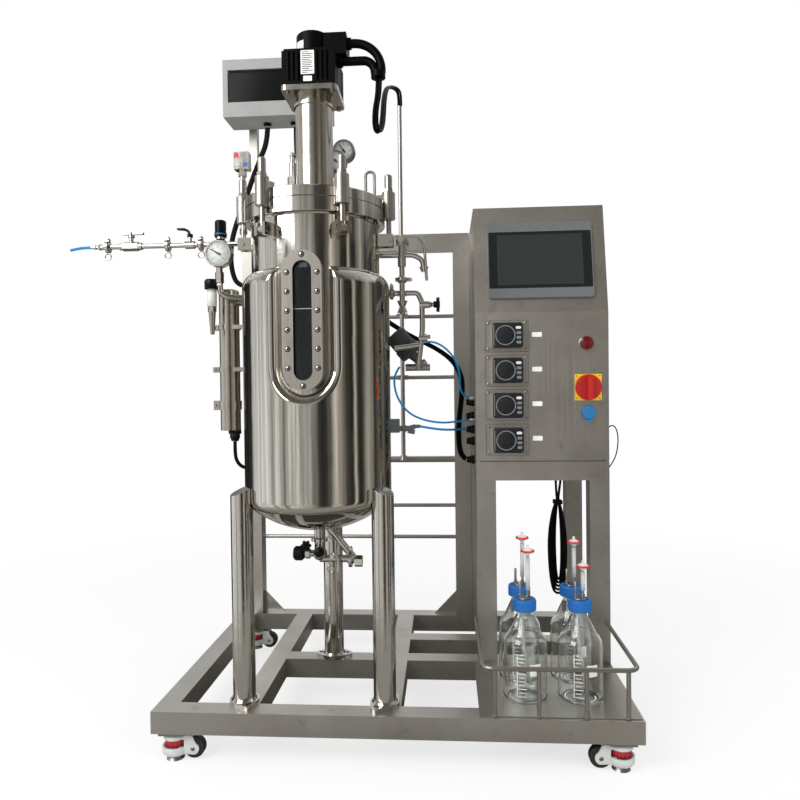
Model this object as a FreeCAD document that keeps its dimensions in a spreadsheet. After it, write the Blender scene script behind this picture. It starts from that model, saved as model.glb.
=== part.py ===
"""Skid-mounted stirred-tank bioreactor with control cabinet, as a parametric FreeCAD document.

Frame: origin on the floor at the centre of the skid, +Z up, front of the machine towards -Y,
control cabinet at +X.  Millimetres throughout.  Sizes live in the Dims sheet; every shape is
bound to it.  Parts of the vessel are built round an axis at their own origin and then placed.
"""
import FreeCAD
import Part
import math
import os
import Sketcher

V = FreeCAD.Vector
X = V(1, 0, 0)
Y = V(0, 1, 0)
Z = V(0, 0, 1)

doc = FreeCAD.newDocument("bioreactor")

# ---------------------------------------------------------------- driving dimensions
SIZES = {
    # skid of square tube
    "skid_width": 1080, "skid_depth": 720, "tube_side": 50, "tube_wall": 2,
    "skid_underside": 66, "rail_left": -331, "rail_right": -9, "rail_bay": 222,
    "cross_front": -25, "cross_rear": 125,
    # cabinet legs
    "leg_top": 588, "leg_right": 515,
    # bottle tray
    "tray_thick": 2, "guard_rod": 5, "guard_height": 106, "guard_left": 192, "guard_right": 530,
    "guard_setback": 8,
    # portal behind the vessel
    "post_left": -492, "post_right": 175, "portal_top": 1310, "rung_rod": 6, "rung_pipe": 10,
    "gusset": 68, "gusset_thick": 5, "mast_side": 25, "mast_x": -479, "mast_top": 1790,
    # vessel axis and inner shell
    "vessel_x": -181, "vessel_y": -211, "shell_radius": 150, "shell_wall": 4,
    "shell_dish_top": 600, "flange_radius": 165, "flange_low": 1214, "flange_high": 1245,
    "lid_low": 1247.5, "lid_high": 1270, "gasket_inner": 147, "gasket_outer": 156,
    "notch_radius": 17, "clamp_circle": 175, "drain_radius": 13,
    # jacket
    "jacket_radius": 173.5, "jacket_wall": 3, "jacket_low": 567, "jacket_high": 1098,
    "bay_half": 64, "bay_centre": 882, "bay_roll": 20,
    # sight glass
    "sight_half": 43, "sight_low": 869.5, "sight_high": 1086.5, "sight_front": 167,
    "cover_thick": 8, "glass_thick": 6, "glass_half": 31, "window_half": 20.5,
    "sight_screw": 2.6, "sight_screw_head": 4.2, "screw_line": 33, "screw_pitch": 41.2,
    # legs of the vessel
    "foot_circle": 186, "leg_radius": 25.4, "leg_wall": 2, "leg_peak": 612, "foot_thick": 10,
    "foot_hole": 5.5, "foot_hole_reach": 35, "foot_reach": 48, "foot_half": 33,
    # swing clamps
    "pivot_height": 1178, "pivot_pin": 5, "bolt_radius": 6, "sleeve_radius": 15.5,
    "sleeve_low": 1228, "sleeve_high": 1292, "clamp_top": 1334, "hook_reach": 28, "eye_width": 15,
    # drive
    "column_radius": 44, "column_wall": 3, "column_top": 1515, "plate_side": 130,
    "plate_thick": 12, "motor_side": 124, "motor_high": 1605, "encoder_radius": 39,
    "encoder_high": 1664, "fin_pitch": 11, "fin_gap": 5, "fin_depth": 6,
    # agitator and internals
    "shaft_radius": 12.5, "shaft_low": 560, "shaft_high": 1490, "impeller_disc": 36,
    "impeller_reach": 50, "blade_height": 20, "blade_length": 25, "impeller_low": 640,
    "impeller_high": 800, "baffle_width": 26, "baffle_low": 620, "baffle_high": 1150,
    "sparger_radius": 65, "sparger_rod": 5, "sparger_height": 590,
    # breaker box
    "box_left": -540, "box_width": 323, "box_low": 1657, "box_height": 172, "box_front": 215,
    "box_depth": 105, "door_low": 1704, "door_height": 91, "door_thick": 3,
    # air line on the left
    "line_y": -130, "line_height": 1199, "line_tube": 6, "ferrule": 12.7, "clamp_band": 17,
    "regulator_x": -437, "heater_x": -420, "heater_radius": 25, "heater_low": 729,
    "heater_high": 1083,
    # pipework on the right
    "pipe_y": -150, "pipe_tube": 6.5, "upper_pipe": 1156, "lower_pipe": 1063, "drop_x": 66,
    "conduit_x": -10, "conduit_y": 300, "conduit_top": 1704, "conduit_radius": 6.5,
    # cabinet
    "cabinet_left": 201, "cabinet_width": 339, "cabinet_front": -50, "cabinet_back": 360,
    "cabinet_low": 588, "cabinet_bend": 1022, "cabinet_high": 1305, "cabinet_lean": 56,
    "sheet_metal": 2, "hmi_width": 269, "hmi_height": 205, "hmi_rise": 36, "hmi_x": 371.5,
    "pump_x": 282, "pump_high": 961, "pump_pitch": 89, "pump_plate_width": 109,
    "pump_plate_height": 80, "pump_head_width": 77, "pump_head_height": 64, "rotor_radius": 19, "switch_x": 487.5, "switch_z": 827,
    # bottles
    "bottle_radius": 50.5, "bottle_height": 225, "bottle_neck": 19, "bottle_glass": 3,
    "cap_radius": 27, "cap_height": 26, "bottle_x": 299, "bottle_y": -252,
    "bottle_gap_x": 125, "bottle_gap_y": 112,
    # castors
    "castor_x": 495, "castor_y": 330, "castor_wheel": 24, "castor_trail": 45,
    "castor_wheel_width": 20, "castor_body": 27, "pad_radius": 20,
}
sheet = doc.addObject("Spreadsheet::Sheet", "Dims")
for row, (alias, measure) in enumerate(SIZES.items(), 1):
    sheet.set(f"A{row}", alias)
    sheet.set(f"B{row}", str(measure))
    sheet.setAlias(f"B{row}", alias)
doc.recompute()


class Size:
    """A measure from the sheet that carries both its value and the formula that gives it."""

    def __init__(self, value, text):
        self.value = float(value)
        self.text = text

    @staticmethod
    def of(other):
        return other if isinstance(other, Size) else Size(other, repr(float(other)))

    def _join(self, other, sign, value):
        return Size(value, f"({self.text} {sign} {Size.of(other).text})")

    def __add__(self, other):
        return self._join(other, "+", self.value + float(other))

    def __sub__(self, other):
        return self._join(other, "-", self.value - float(other))

    def __mul__(self, other):
        return self._join(other, "*", self.value * float(other))

    def __truediv__(self, other):
        return self._join(other, "/", self.value / float(other))

    def __radd__(self, other):
        return Size.of(other) + self

    def __rsub__(self, other):
        return Size.of(other) - self

    def __rmul__(self, other):
        return Size.of(other) * self

    def __neg__(self):
        return Size(-self.value, f"(0 - {self.text})")

    def __float__(self):
        return self.value

    def __lt__(self, other):
        return self.value < float(other)


class Dims:
    """Reads a sheet cell by its alias, as d.skid_width."""

    def __getattr__(self, alias):
        return Size(sheet.get(alias), f"Dims.{alias}")


d = Dims()
nodes = {}
count = [0]


# ---------------------------------------------------------------- helpers
def new(kind, name="shape"):
    """A fresh document object with a running number, so that names never clash."""
    count[0] += 1
    return doc.addObject(kind, f"{name}_{count[0]}")


def bind(obj, prop, measure):
    """Give a property its formula when the measure comes from the sheet, else its plain value."""
    if isinstance(measure, Size):
        obj.setExpression(prop, measure.text)
    elif "." in prop:
        obj.setExpression(prop, repr(float(measure)))
    else:
        setattr(obj, prop, float(measure))


def set_base(obj, at):
    for axis, measure in zip("xyz", at):
        bind(obj, f"Placement.Base.{axis}", measure)


def vec(at):
    return V(*[float(c) for c in at])


def box(length, width, height, at):
    """A block with its low corner at the given point."""
    obj = new("Part::Box", "block")
    for prop, measure in (("Length", length), ("Width", width), ("Height", height)):
        bind(obj, prop, measure)
    set_base(obj, at)
    return obj


def mid_box(length, width, height, at):
    """A block centred on the given point."""
    x, y, z = at
    return box(length, width, height, (x - length / 2, y - width / 2, z - height / 2))


def turn_to(direction):
    return FreeCAD.Rotation(Z, direction)


def rod(radius, length, at, along=Z):
    """A round bar that starts at a point and runs along a direction."""
    obj = new("Part::Cylinder", "rod")
    bind(obj, "Radius", radius)
    bind(obj, "Height", length)
    if along == Z:
        set_base(obj, at)
    else:
        obj.Placement = FreeCAD.Placement(vec(at), turn_to(along))
    return obj


def cone(radius_low, radius_high, length, at, along=Z):
    obj = new("Part::Cone", "cone")
    bind(obj, "Radius1", radius_low)
    bind(obj, "Radius2", radius_high)
    bind(obj, "Height", length)
    obj.Placement = FreeCAD.Placement(vec(at), turn_to(along))
    return obj


def ball(radius, at):
    obj = new("Part::Sphere", "ball")
    bind(obj, "Radius", radius)
    set_base(obj, at)
    return obj


def ring(radius, wire, at, along=Z):
    """A torus of a wire radius round a circle."""
    obj = new("Part::Torus", "ring")
    bind(obj, "Radius1", radius)
    bind(obj, "Radius2", wire)
    obj.Placement = FreeCAD.Placement(vec(at), turn_to(along))
    return obj


def cut(base, *tools):
    for tool in tools:
        obj = new("Part::Cut", "cut")
        obj.Base = base
        obj.Tool = tool
        base = obj
    return base


def fuse(*shapes):
    if len(shapes) == 1:
        return shapes[0]
    obj = new("Part::MultiFuse", "fuse")
    obj.Shapes = list(shapes)
    return obj


def group(*shapes):
    """Separate solids kept in one sub-part."""
    obj = new("Part::Compound", "group")
    obj.Links = list(shapes)
    return obj


def tube(outer, inner, length, at, along=Z):
    start = vec(at) - along * 1.0
    return cut(rod(outer, length, at, along), rod(inner, length + 2, start, along))


def fillet(base, radius, chosen):
    """Round the edges that the test picks."""
    doc.recompute()
    obj = new("Part::Fillet", "fillet")
    obj.Base = base
    value = float(radius)
    obj.Edges = [(i, value, value) for i, e in enumerate(base.Shape.Edges, 1) if chosen(e)]
    return obj


def place(obj, at=(0, 0, 0), angle=0.0, axis=Z):
    """Move a finished shape; angle in degrees about an axis through its own origin."""
    obj.Placement = FreeCAD.Placement(vec(at), FreeCAD.Rotation(axis, angle))
    return obj


def solid(shape, name="formed"):
    """A sub-shape made with Part's own functions where no primitive fits."""
    obj = new("Part::Feature", name)
    obj.Shape = shape
    return obj


def node(name, obj):
    obj.Label = name
    nodes[name] = obj
    return obj


def corner_arcs(points, reach=0.45):
    """Edges of a path through the points: straight runs joined by tangent arcs."""
    pts = [vec(p) for p in points]
    edges, radii, start = [], [], pts[0]
    for before, corner, after in zip(pts, pts[1:], pts[2:]):
        one, two = corner - before, after - corner
        half = one.getAngle(two) / 2
        run = reach * min(one.Length, two.Length)
        radii.append(run / math.tan(half))
        one.normalize()
        two.normalize()
        first, last = corner - one * run, corner + two * run
        middle = (first + last) * 0.5
        inward = middle - corner
        inward.normalize()
        depth = radii[-1] / math.cos(half) - radii[-1]
        edges.append(Part.LineSegment(start, first).toShape())
        edges.append(Part.Arc(first, corner + inward * depth, last).toShape())
        start = last
    edges.append(Part.LineSegment(start, pts[-1]).toShape())
    return edges, radii


def bent_tube(points, radius, reach=0.45, inner=0):
    """A round tube swept along straight runs and tangent arcs."""
    edges, radii = corner_arcs(points, reach)
    path = Part.Wire(edges)
    start = path.Edges[0]
    direction = start.tangentAt(start.FirstParameter)
    circle = Part.Wire(Part.Circle(vec(points[0]), direction, float(radius)).toShape())
    body = path.makePipeShell([circle], True, False)
    return solid(body, "bent"), path.Length, radii


def cord_tube(name, points, radius):
    """A cord's solid; prints its radii and compares its volume with section times length."""
    obj, length, radii = bent_tube(points, radius)
    expected = math.pi * float(radius) ** 2 * length
    print(name, "length", round(length, 1), "least radius", round(min(radii), 1),
          "volume ratio", round(obj.Shape.Volume / expected, 4))
    return node(name, obj)


def sketch_on(body, role, outline, offset=0.0):
    """A closed sketch of lines and arcs on one of the body's origin planes.

    outline is a list of (x, y) for a line's end or (x, y, radius, side) for an arc's end,
    where side is 1 when the arc bulges to the right of the way it is drawn and -1 to the left.
    """
    sketch = body.newObject("Sketcher::SketchObject", f"outline_{count[0]}")
    count[0] += 1
    plane = [f for f in body.Origin.OriginFeatures if f.Role == role][0]
    sketch.AttachmentSupport = [(plane, "")]
    sketch.MapMode = "FlatFace"
    sketch.AttachmentOffset = FreeCAD.Placement(V(0, 0, float(offset)), FreeCAD.Rotation())
    steps = [(p[0], p[1]) for p in outline]
    total = len(outline)
    for i in range(total):
        start = V(float(steps[i - 1][0]), float(steps[i - 1][1]), 0)
        end = V(float(steps[i][0]), float(steps[i][1]), 0)
        if len(outline[i]) == 2:
            sketch.addGeometry(Part.LineSegment(start, end), False)
            continue
        radius, side = float(outline[i][2]), outline[i][3]
        chord = end - start
        middle = (start + end) * 0.5
        normal = V(chord.y, -chord.x, 0)
        normal.normalize()
        rise = math.sqrt(max(radius ** 2 - (chord.Length / 2) ** 2, 0))
        bulge = middle + normal * side * (radius - rise)
        sketch.addGeometry(Part.Arc(start, bulge, end), False)
    for i in range(total):
        geometry = sketch.Geometry[i]
        forward = (geometry.StartPoint - V(float(steps[i - 1][0]), float(steps[i - 1][1]), 0)).Length < 1e-4
        end_point = 2 if forward else 1
        following = sketch.Geometry[(i + 1) % total]
        here = V(float(steps[i][0]), float(steps[i][1]), 0)
        next_point = 1 if (following.StartPoint - here).Length < 1e-4 else 2
        sketch.addConstraint(Sketcher.Constraint("Coincident", i, end_point, (i + 1) % total, next_point))
        for kind, measure in (("DistanceX", steps[i][0]), ("DistanceY", steps[i][1])):
            number = sketch.addConstraint(
                Sketcher.Constraint(kind, -1, 1, i, end_point, float(measure)))
            if isinstance(measure, Size):
                sketch.setExpression(f"Constraints[{number}]", measure.text)
        if len(outline[i]) == 4:
            if (geometry.EndPoint - geometry.StartPoint).Length > 2 * float(outline[i][2]) - 1e-3:
                upright = abs(geometry.EndPoint.x - geometry.StartPoint.x) < 1e-3
                kind, measure = ("DistanceX", steps[i][0]) if upright else ("DistanceY", steps[i][1])
                number = sketch.addConstraint(Sketcher.Constraint(kind, -1, 1, i, 3, float(measure)))
                if isinstance(measure, Size):
                    sketch.setExpression(f"Constraints[{number}]", measure.text)
                continue
            number = sketch.addConstraint(Sketcher.Constraint("Radius", i, float(outline[i][2])))
            if isinstance(outline[i][2], Size):
                sketch.setExpression(f"Constraints[{number}]", outline[i][2].text)
    return sketch


def new_body(name="body"):
    return new("PartDesign::Body", name)


def pad(body, outline, length, role="XY_Plane", offset=0.0, feature="PartDesign::Pad", both=False):
    sketch = sketch_on(body, role, outline, offset)
    result = body.newObject(feature, f"pad_{count[0]}")
    count[0] += 1
    result.Profile = sketch
    bind(result, "Length", length)
    result.Midplane = both
    return result


def revolve(body, outline, feature="PartDesign::Revolution"):
    """Turn an outline of (radius, height) points about the vertical axis."""
    sketch = sketch_on(body, "XZ_Plane", outline)
    result = body.newObject(feature, f"turned_{count[0]}")
    count[0] += 1
    result.Profile = sketch
    result.ReferenceAxis = (sketch, ["V_Axis"])
    result.Angle = 360
    return result


def turned(outline):
    """A body of revolution."""
    body = new_body("turned")
    revolve(body, outline)
    return body


# ---------------------------------------------------------------- skid and cabinet legs
half_width = d.skid_width / 2
half_depth = d.skid_depth / 2
side = d.tube_side
deck = d.skid_underside + side
TURNS = {"x": (0, 0, 0), "y": (90, 0, 0)}


def square_tube(length, at, run="x", wall=None):
    """Hollow square tube from its low corner, along x, y or z."""
    wall = d.tube_wall if wall is None else wall
    size = {"x": (length, side, side), "y": (side, length, side), "z": (side, side, length)}[run]
    grow = {"x": (0, 1, 1), "y": (1, 0, 1), "z": (1, 1, 0)}[run]
    inner = [s - 2 * wall * g if g else s + 2 for s, g in zip(size, grow)]
    start = [a + wall * g if g else a - 1 for a, g in zip(at, grow)]
    return cut(box(*size, at), box(*inner, start))


def mitre(at, first, second, plane="xy"):
    """A triangular prism that trims a tube end to 45 degrees, with its corner on the outside."""
    reach = float(side) * 1.5
    corner = vec(at)
    over = Z if plane == "xy" else Y
    lift = over * -reach
    points = [corner, corner + first * reach, corner + first * reach + second * reach, corner]
    face = Part.Face(Part.makePolygon([p + lift for p in points]))
    return solid(face.extrude(over * reach * 2), "mitre")


def skid_frame():
    low = d.skid_underside
    rails = []
    for sign in (-1, 1):
        front = square_tube(d.skid_width, (-half_width, sign * half_depth - side * (sign + 1) / 2, low))
        for end in (-1, 1):
            corner = (end * half_width, sign * half_depth, low)
            front = cut(front, mitre(corner, V(0, -sign, 0), V(-end, 0, 0)))
        rails.append(front)
    for sign in (-1, 1):
        edge = square_tube(d.skid_depth, (sign * half_width - side * (sign + 1) / 2, -half_depth, low), "y")
        for end in (-1, 1):
            corner = (sign * half_width, end * half_depth, low)
            edge = cut(edge, mitre(corner, V(-sign, 0, 0), V(0, -end, 0)))
        rails.append(edge)
    clear = d.skid_depth - 2 * side
    for centre in (d.rail_left, d.rail_right):
        rails.append(square_tube(clear, (centre - side / 2, -half_depth + side, low), "y"))
    left_end = d.rail_left + side / 2
    rails.append(square_tube(d.rail_right - d.rail_left - side, (left_end, d.cross_front - side / 2, low)))
    bay_start = d.rail_right + side / 2
    bay = half_width - side - bay_start
    for centre in (d.cross_front, d.cross_rear):
        rails.append(square_tube(bay, (bay_start, centre - side / 2, low)))
    height = d.leg_top - deck
    for x in (d.cabinet_left, d.leg_right - side / 2):
        for y in (d.cross_front - side / 2, half_depth - side):
            rails.append(square_tube(height, (x, y, deck), "z"))
    return group(*rails)


node("skid_frame", skid_frame())


# ---------------------------------------------------------------- bottle tray with its guard rail
def bottle_tray():
    left, right = d.guard_left, d.guard_right
    front = -half_depth + d.guard_setback
    plate = box(right - left + 8, d.cross_front - side / 2 - 2 - front, d.tray_thick, (left - 2, front, deck))
    height = deck + d.guard_height
    bend = float(side) * 0.5
    rail_front = [float(front), float(height), float(left) + 4, float(right)]
    y_front, z, x_left, x_right = rail_front
    y_back = float(d.cross_front) - 5
    y_leg = float(d.cross_front - side / 2)
    edges = [
        Part.LineSegment(V(x_left, y_back, z), V(x_left, y_front + bend, z)).toShape(),
        Part.Arc(V(x_left, y_front + bend, z),
                 V(x_left + bend * (1 - math.cos(math.pi / 4)), y_front + bend * (1 - math.sin(math.pi / 4)), z),
                 V(x_left + bend, y_front, z)).toShape(),
        Part.LineSegment(V(x_left + bend, y_front, z), V(x_right - bend, y_front, z)).toShape(),
        Part.Arc(V(x_right - bend, y_front, z),
                 V(x_right - bend * (1 - math.cos(math.pi / 4)), y_front + bend * (1 - math.sin(math.pi / 4)), z),
                 V(x_right, y_front + bend, z)).toShape(),
        Part.LineSegment(V(x_right, y_front + bend, z), V(x_right, y_leg, z)).toShape(),
    ]
    path = Part.Wire(edges)
    section = Part.Wire(Part.Circle(V(x_left, y_back, z), V(0, -1, 0), float(d.guard_rod)).toShape())
    rail = solid(path.makePipeShell([section], True, False), "guard")
    span = right - left
    pillars = [rod(d.guard_rod, d.guard_height - d.tray_thick - d.guard_rod * 0.7,
                   (left + 4 + span * share, front, deck + d.tray_thick))
               for share in (0.08, 0.36, 0.66, 0.92)]
    return group(plate, fuse(rail, *pillars))


node("bottle_tray", bottle_tray())


# ---------------------------------------------------------------- portal behind the vessel
def rear_portal():
    y = half_depth - side
    left = d.post_left - side / 2
    right = d.post_right + side / 2
    top = d.portal_top
    pieces = []
    for x, end in ((left, -1), (right - side, 1)):
        post = square_tube(top - deck, (x, y, deck), "z")
        outer = left if end < 0 else right
        pieces.append(cut(post, mitre((outer, y + side / 2, top), V(-end, 0, 0), V(0, 0, -1), "xz")))
    bar = square_tube(right - left, (left, y, top - side))
    for outer, end in ((left, -1), (right, 1)):
        bar = cut(bar, mitre((outer, y + side / 2, top), V(0, 0, -1), V(-end, 0, 0), "xz"))
    pieces.append(bar)
    inner = right - left - 2 * side
    for height, radius in ((1056, d.rung_rod), (864, d.rung_rod), (605, d.rung_pipe),
                           (459, d.rung_rod), (359, d.rung_rod)):
        pieces.append(rod(radius, inner, (left + side, y + side / 2, height), X))
    for x, way in ((left + side, 1), (right - side, -1)):
        outline = [(x, deck), (x + way * d.gusset, deck), (x, deck + d.gusset * 1.05)]
        if way < 0:
            outline.reverse()
        body = new_body("gusset")
        pad(body, outline, d.gusset_thick, "XZ_Plane", -float(y) - float(side) / 2, both=True)
        pieces.append(body)
    mast = d.mast_side
    corner = (d.mast_x - mast / 2, y + side / 2 - mast / 2, top)
    hollow = box(mast - 3, mast - 3, d.mast_top - top + 2, (d.mast_x - mast / 2 + 1.5, y + side / 2 - mast / 2 + 1.5,
                                                          top - 1))
    pieces.append(cut(box(mast, mast, d.mast_top - top, corner), hollow))
    return pieces


def conduit_pipe():
    """Steel pipe for the motor cables, clipped to the portal and flared onto the thick rung."""
    at = (d.conduit_x, d.conduit_y, 620)
    pipe = tube(d.conduit_radius, d.conduit_radius - 1.2, d.conduit_top - 620, at)
    flare = cone(d.conduit_radius * 1.7, d.conduit_radius, 16, (d.conduit_x, d.conduit_y, 606))
    flare = cut(flare, rod(d.conduit_radius - 1.2, 40, (d.conduit_x, d.conduit_y, 600)))
    flare = place(fuse(pipe, flare))
    clips = []
    for height in (1284, 1056, 864):
        gap = half_depth - side / 2 - d.conduit_y
        reach = gap - (side / 2 if height > 1200 else d.rung_rod)
        clip = box(34, reach, 14, (d.conduit_x - 17, d.conduit_y, height - 7))
        clips.append(cut(clip, rod(d.conduit_radius, 30, (d.conduit_x, d.conduit_y, height - 15))))
    foot = box(20, half_depth - side / 2 - d.rung_pipe - d.conduit_y - 8, 10, (d.conduit_x - 10, d.conduit_y + 8, 608))
    return [flare, *clips, foot]


node("rear_portal", group(*rear_portal(), *conduit_pipe()))


# ---------------------------------------------------------------- levelling castors
# Each castor is drawn round its swivel axis, with the wheel trailing towards +x.
trail = d.castor_trail
wheel_centre = d.castor_wheel + 3
corners = {"front_left": (-1, -1), "front_right": (1, -1), "rear_left": (-1, 1), "rear_right": (1, 1)}


def castor_housing():
    r = d.castor_body
    half = d.castor_wheel_width / 2 + 5.5
    tail = trail + 9
    body = new_body("housing")
    outline = [(0, -r, r, 1), (tail, -half), (tail, half), (0, r)]
    pad(body, outline, 44, "XY_Plane", 14)
    slot = box(d.castor_wheel * 2 + 4, d.castor_wheel_width + 1.2, 40,
               (trail - d.castor_wheel - 1.5, -(d.castor_wheel_width + 1.2) / 2, 12))
    core = rod(20.5, 40, (0, 0, 12))
    neck = rod(7, 20, (0, 0, 45))
    window = box(50, 30, 14, (-r - 4, -15, 31))
    axle = rod(3.5, half * 2 + 4, (trail, -half - 2, wheel_centre), Y)
    return fuse(cut(body, slot, core, neck, window), axle)


def castor_wheel():
    half = d.castor_wheel_width / 2 - 0.4
    r = d.castor_wheel
    wheel = turned([(3.8, -half), (r - 3, -half), (r, -half + 3, 3, 1), (r, half - 3), (r - 3, half, 3, 1),
                    (3.8, half)])
    return wheel


def castor_foot():
    """Mounting plate, stem, toothed thumbwheel and rubber pad of one castor."""
    plate = box(58, 58, 5, (-29, -29, d.skid_underside - 5))
    stem = rod(5, d.skid_underside - 6, (0, 0, 6))
    pad_cup = cone(d.pad_radius, d.pad_radius * 0.7, 9, (0, 0, 0))
    race = rod(16, 2.6, (0, 0, d.skid_underside - 7.6))
    thumb = rod(16, 9, (0, 0, 33))
    teeth = [rod(2.2, 9, (16 * math.cos(a), 16 * math.sin(a), 33))
             for a in [math.pi * i / 4 for i in range(8)]]
    return fuse(plate, race, stem, pad_cup, thumb, *teeth)


for name, (sx, sy) in corners.items():
    at = (sx * d.castor_x, sy * d.castor_y, 0)
    node("castor_housing_" + name, place(castor_housing(), at, 0 if sx < 0 else 180))
    wheel_at = (sx * (d.castor_x - trail), sy * d.castor_y, wheel_centre)
    node("castor_wheel_" + name, place(castor_wheel(), wheel_at, 90, X))
feet = [place(castor_foot(), (sx * d.castor_x, sy * d.castor_y, 0)) for sx, sy in corners.values()]
node("levelling_feet", group(*feet))


# ---------------------------------------------------------------- vessel
# Every vessel part is drawn round the vessel axis and then placed.  Angles are counted from the front.
vessel_at = (d.vessel_x, d.vessel_y, 0)


def round_axis(angle, radius, height=0):
    """A point at an angle from the front (-y), turning towards +x."""
    a = math.radians(angle)
    r = float(radius)
    return V(r * math.sin(a), -r * math.cos(a), float(height))


def radial(angle):
    return round_axis(angle, 1)


def on_vessel(obj):
    """Wrap a finished vessel shape so that its placement puts it on the vessel axis."""
    obj = obj if obj.TypeId != "PartDesign::Body" else fuse_one(obj)
    bind(obj, "Placement.Base.x", vessel_at[0])
    bind(obj, "Placement.Base.y", vessel_at[1])
    return obj


def fuse_one(obj):
    wrapped = new("Part::Compound", "held")
    wrapped.Links = [obj]
    return wrapped


def upright_obround(half, low, high, near, far):
    """A prism with round ends, low and high being the centres of its ends, from y near to far."""
    body = new_body("obround")
    outline = [(half, low, half, 1), (half, high), (-half, high, half, 1), (-half, low)]
    pad(body, outline, far - near, "XZ_Plane", -far)
    return body


def vessel_shell():
    wall = d.shell_wall
    r = d.shell_radius
    bottom = 60
    low = d.shell_dish_top - bottom
    dish = (r * r + bottom * bottom) / (2 * bottom)
    outer = turned([(0, low), (r, d.shell_dish_top, dish, 1), (r, d.flange_low - 3), (r + 3, d.flange_low),
                    (d.flange_radius - 1, d.flange_low), (d.flange_radius, d.flange_low + 1),
                    (d.flange_radius, d.flange_high), (0, d.flange_high)])
    inner = turned([(0, low + wall), (r - wall, d.shell_dish_top + 1, dish - wall, 1), (r - wall, d.flange_high + 5),
                    (0, d.flange_high + 5)])
    port = upright_obround(d.window_half + 2, d.sight_low, d.sight_high, -r - 20, -r + 20)
    outlet = tube(d.drain_radius, d.drain_radius - 2, 118, (0, 0, 430))
    bore = rod(d.drain_radius - 2, 60, (0, 0, low - 20))
    notches = [rod(d.notch_radius, 60, round_axis(a, d.clamp_circle, d.sleeve_low - 2)) for a in CLAMP_ANGLES]
    skin = cut(fuse(outer, outlet), inner, bore, port, *notches)
    return skin


CLAMP_ANGLES = (30, 90, 150, 210, 270, 330)
LUG_HALF = 16


def clamp_lug(angle):
    """Clevis block on the neck with its pivot pin."""
    reach = d.clamp_circle + 10
    block = box(2 * LUG_HALF, reach - d.shell_radius + 6, 28, (-LUG_HALF, -reach, d.pivot_height - 14))
    slot = box(d.eye_width + 0.8, 24 + 10.4, 60,
               (-(d.eye_width + 0.8) / 2, -d.clamp_circle - 24, d.pivot_height - 30))
    neck = rod(d.shell_radius, 80, (0, 0, d.pivot_height - 40))
    pin = rod(d.pivot_pin - 0.1, 2 * LUG_HALF + 6, (-LUG_HALF - 3, -d.clamp_circle, d.pivot_height), X)
    heads = [rod(d.pivot_pin + 2, 3, (side_x, -d.clamp_circle, d.pivot_height), X)
             for side_x in (-LUG_HALF - 3, LUG_HALF)]
    return place(fuse(cut(block, slot, neck), pin, *heads), (0, 0, 0), angle)


def swing_clamp():
    """Eye bolt with its long sleeve, hook, nut and cap, drawn round the pivot pin."""
    up = d.sleeve_low - d.pivot_height
    top = d.sleeve_high - d.pivot_height
    eye = rod(9, d.eye_width, (-d.eye_width / 2, 0, 0), X)
    stem = rod(d.bolt_radius, up + 4, (0, 0, 5))
    sleeve = turned([(0, up), (d.sleeve_radius - 1.5, up), (d.sleeve_radius, up + 1.5),
                     (d.sleeve_radius, top - 2), (d.sleeve_radius - 2, top, 2, 1), (0, top)])
    seat = d.lid_high - d.pivot_height + 0.4
    hook = box(20, d.hook_reach, 14, (-10, 0, seat))
    nut = prism(6, 11, 9, (0, 0, top))
    cap_low = top + 9
    cap_high = d.clamp_top - d.pivot_height
    cap = turned([(0, cap_low), (9, cap_low), (9, cap_high - 5), (4, cap_high, 5, 1), (0, cap_high)])
    whole = cut(fuse(eye, stem, sleeve, hook, nut, cap), rod(d.pivot_pin, 40, (-20, 0, 0), X))
    return whole


def prism(sides, radius, height, at, along=Z):
    obj = new("Part::Prism", "prism")
    obj.Polygon = sides
    bind(obj, "Circumradius", radius)
    bind(obj, "Height", height)
    if along == Z:
        set_base(obj, at)
    else:
        obj.Placement = FreeCAD.Placement(vec(at), turn_to(along))
    return obj


shell = fuse(vessel_shell(), *[clamp_lug(a) for a in CLAMP_ANGLES])
node("vessel_shell", on_vessel(shell))
centre = V(float(d.vessel_x), float(d.vessel_y), 0)
for number, angle in enumerate(CLAMP_ANGLES, 1):
    pivot = centre + round_axis(angle, d.clamp_circle, d.pivot_height)
    node(f"swing_clamp_{number}", place(swing_clamp(), pivot, angle))


def jacket_form(grow):
    """The jacket's outside (grow 0) or its inside (grow = wall): a dished drum with the sight-glass bay.

    The bay's rim is rolled on a plain drum, which then trims the dished and shouldered form.
    """
    r = d.jacket_radius - grow
    rise = 70
    base = d.jacket_low - rise + grow
    dish = (r * r + rise * rise) / (2 * rise)
    top = d.jacket_high - grow
    form = turned([(0, base), (r, base + rise, dish, 1), (r, top - SHOULDER_DROP),
                   (d.shell_radius, top, SHOULDER - grow, 1), (0, top)])
    half = d.bay_half + grow
    bay = new_body("bay")
    high = d.jacket_high + 160
    pad(bay, [(half, d.bay_centre, half, 1), (half, high), (-half, high), (-half, d.bay_centre)],
        120, "XZ_Plane", 100)
    drum = cut(rod(r, high - 20 - base, (0, 0, base)), bay)
    limit = float(half) + 0.5

    def on_bay_rim(edge):
        middle = edge.valueAt((edge.FirstParameter + edge.LastParameter) / 2)
        on_skin = abs(math.hypot(middle.x, middle.y) - float(r)) < 0.5
        return middle.y < 0 and abs(middle.x) < limit and on_skin and middle.z < float(high) - 25

    common = new("Part::Common", "common")
    common.Base = form
    common.Tool = fillet(drum, d.bay_roll - grow, on_bay_rim)
    return common


SHOULDER = 36.5
SHOULDER_DROP = 34


def vessel_jacket():
    hollow = jacket_form(d.jacket_wall)
    core = rod(d.shell_radius, 900, (0, 0, d.shell_dish_top))
    outlet = rod(d.drain_radius, 200, (0, 0, 400))
    return cut(jacket_form(0), hollow, core, outlet)


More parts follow.
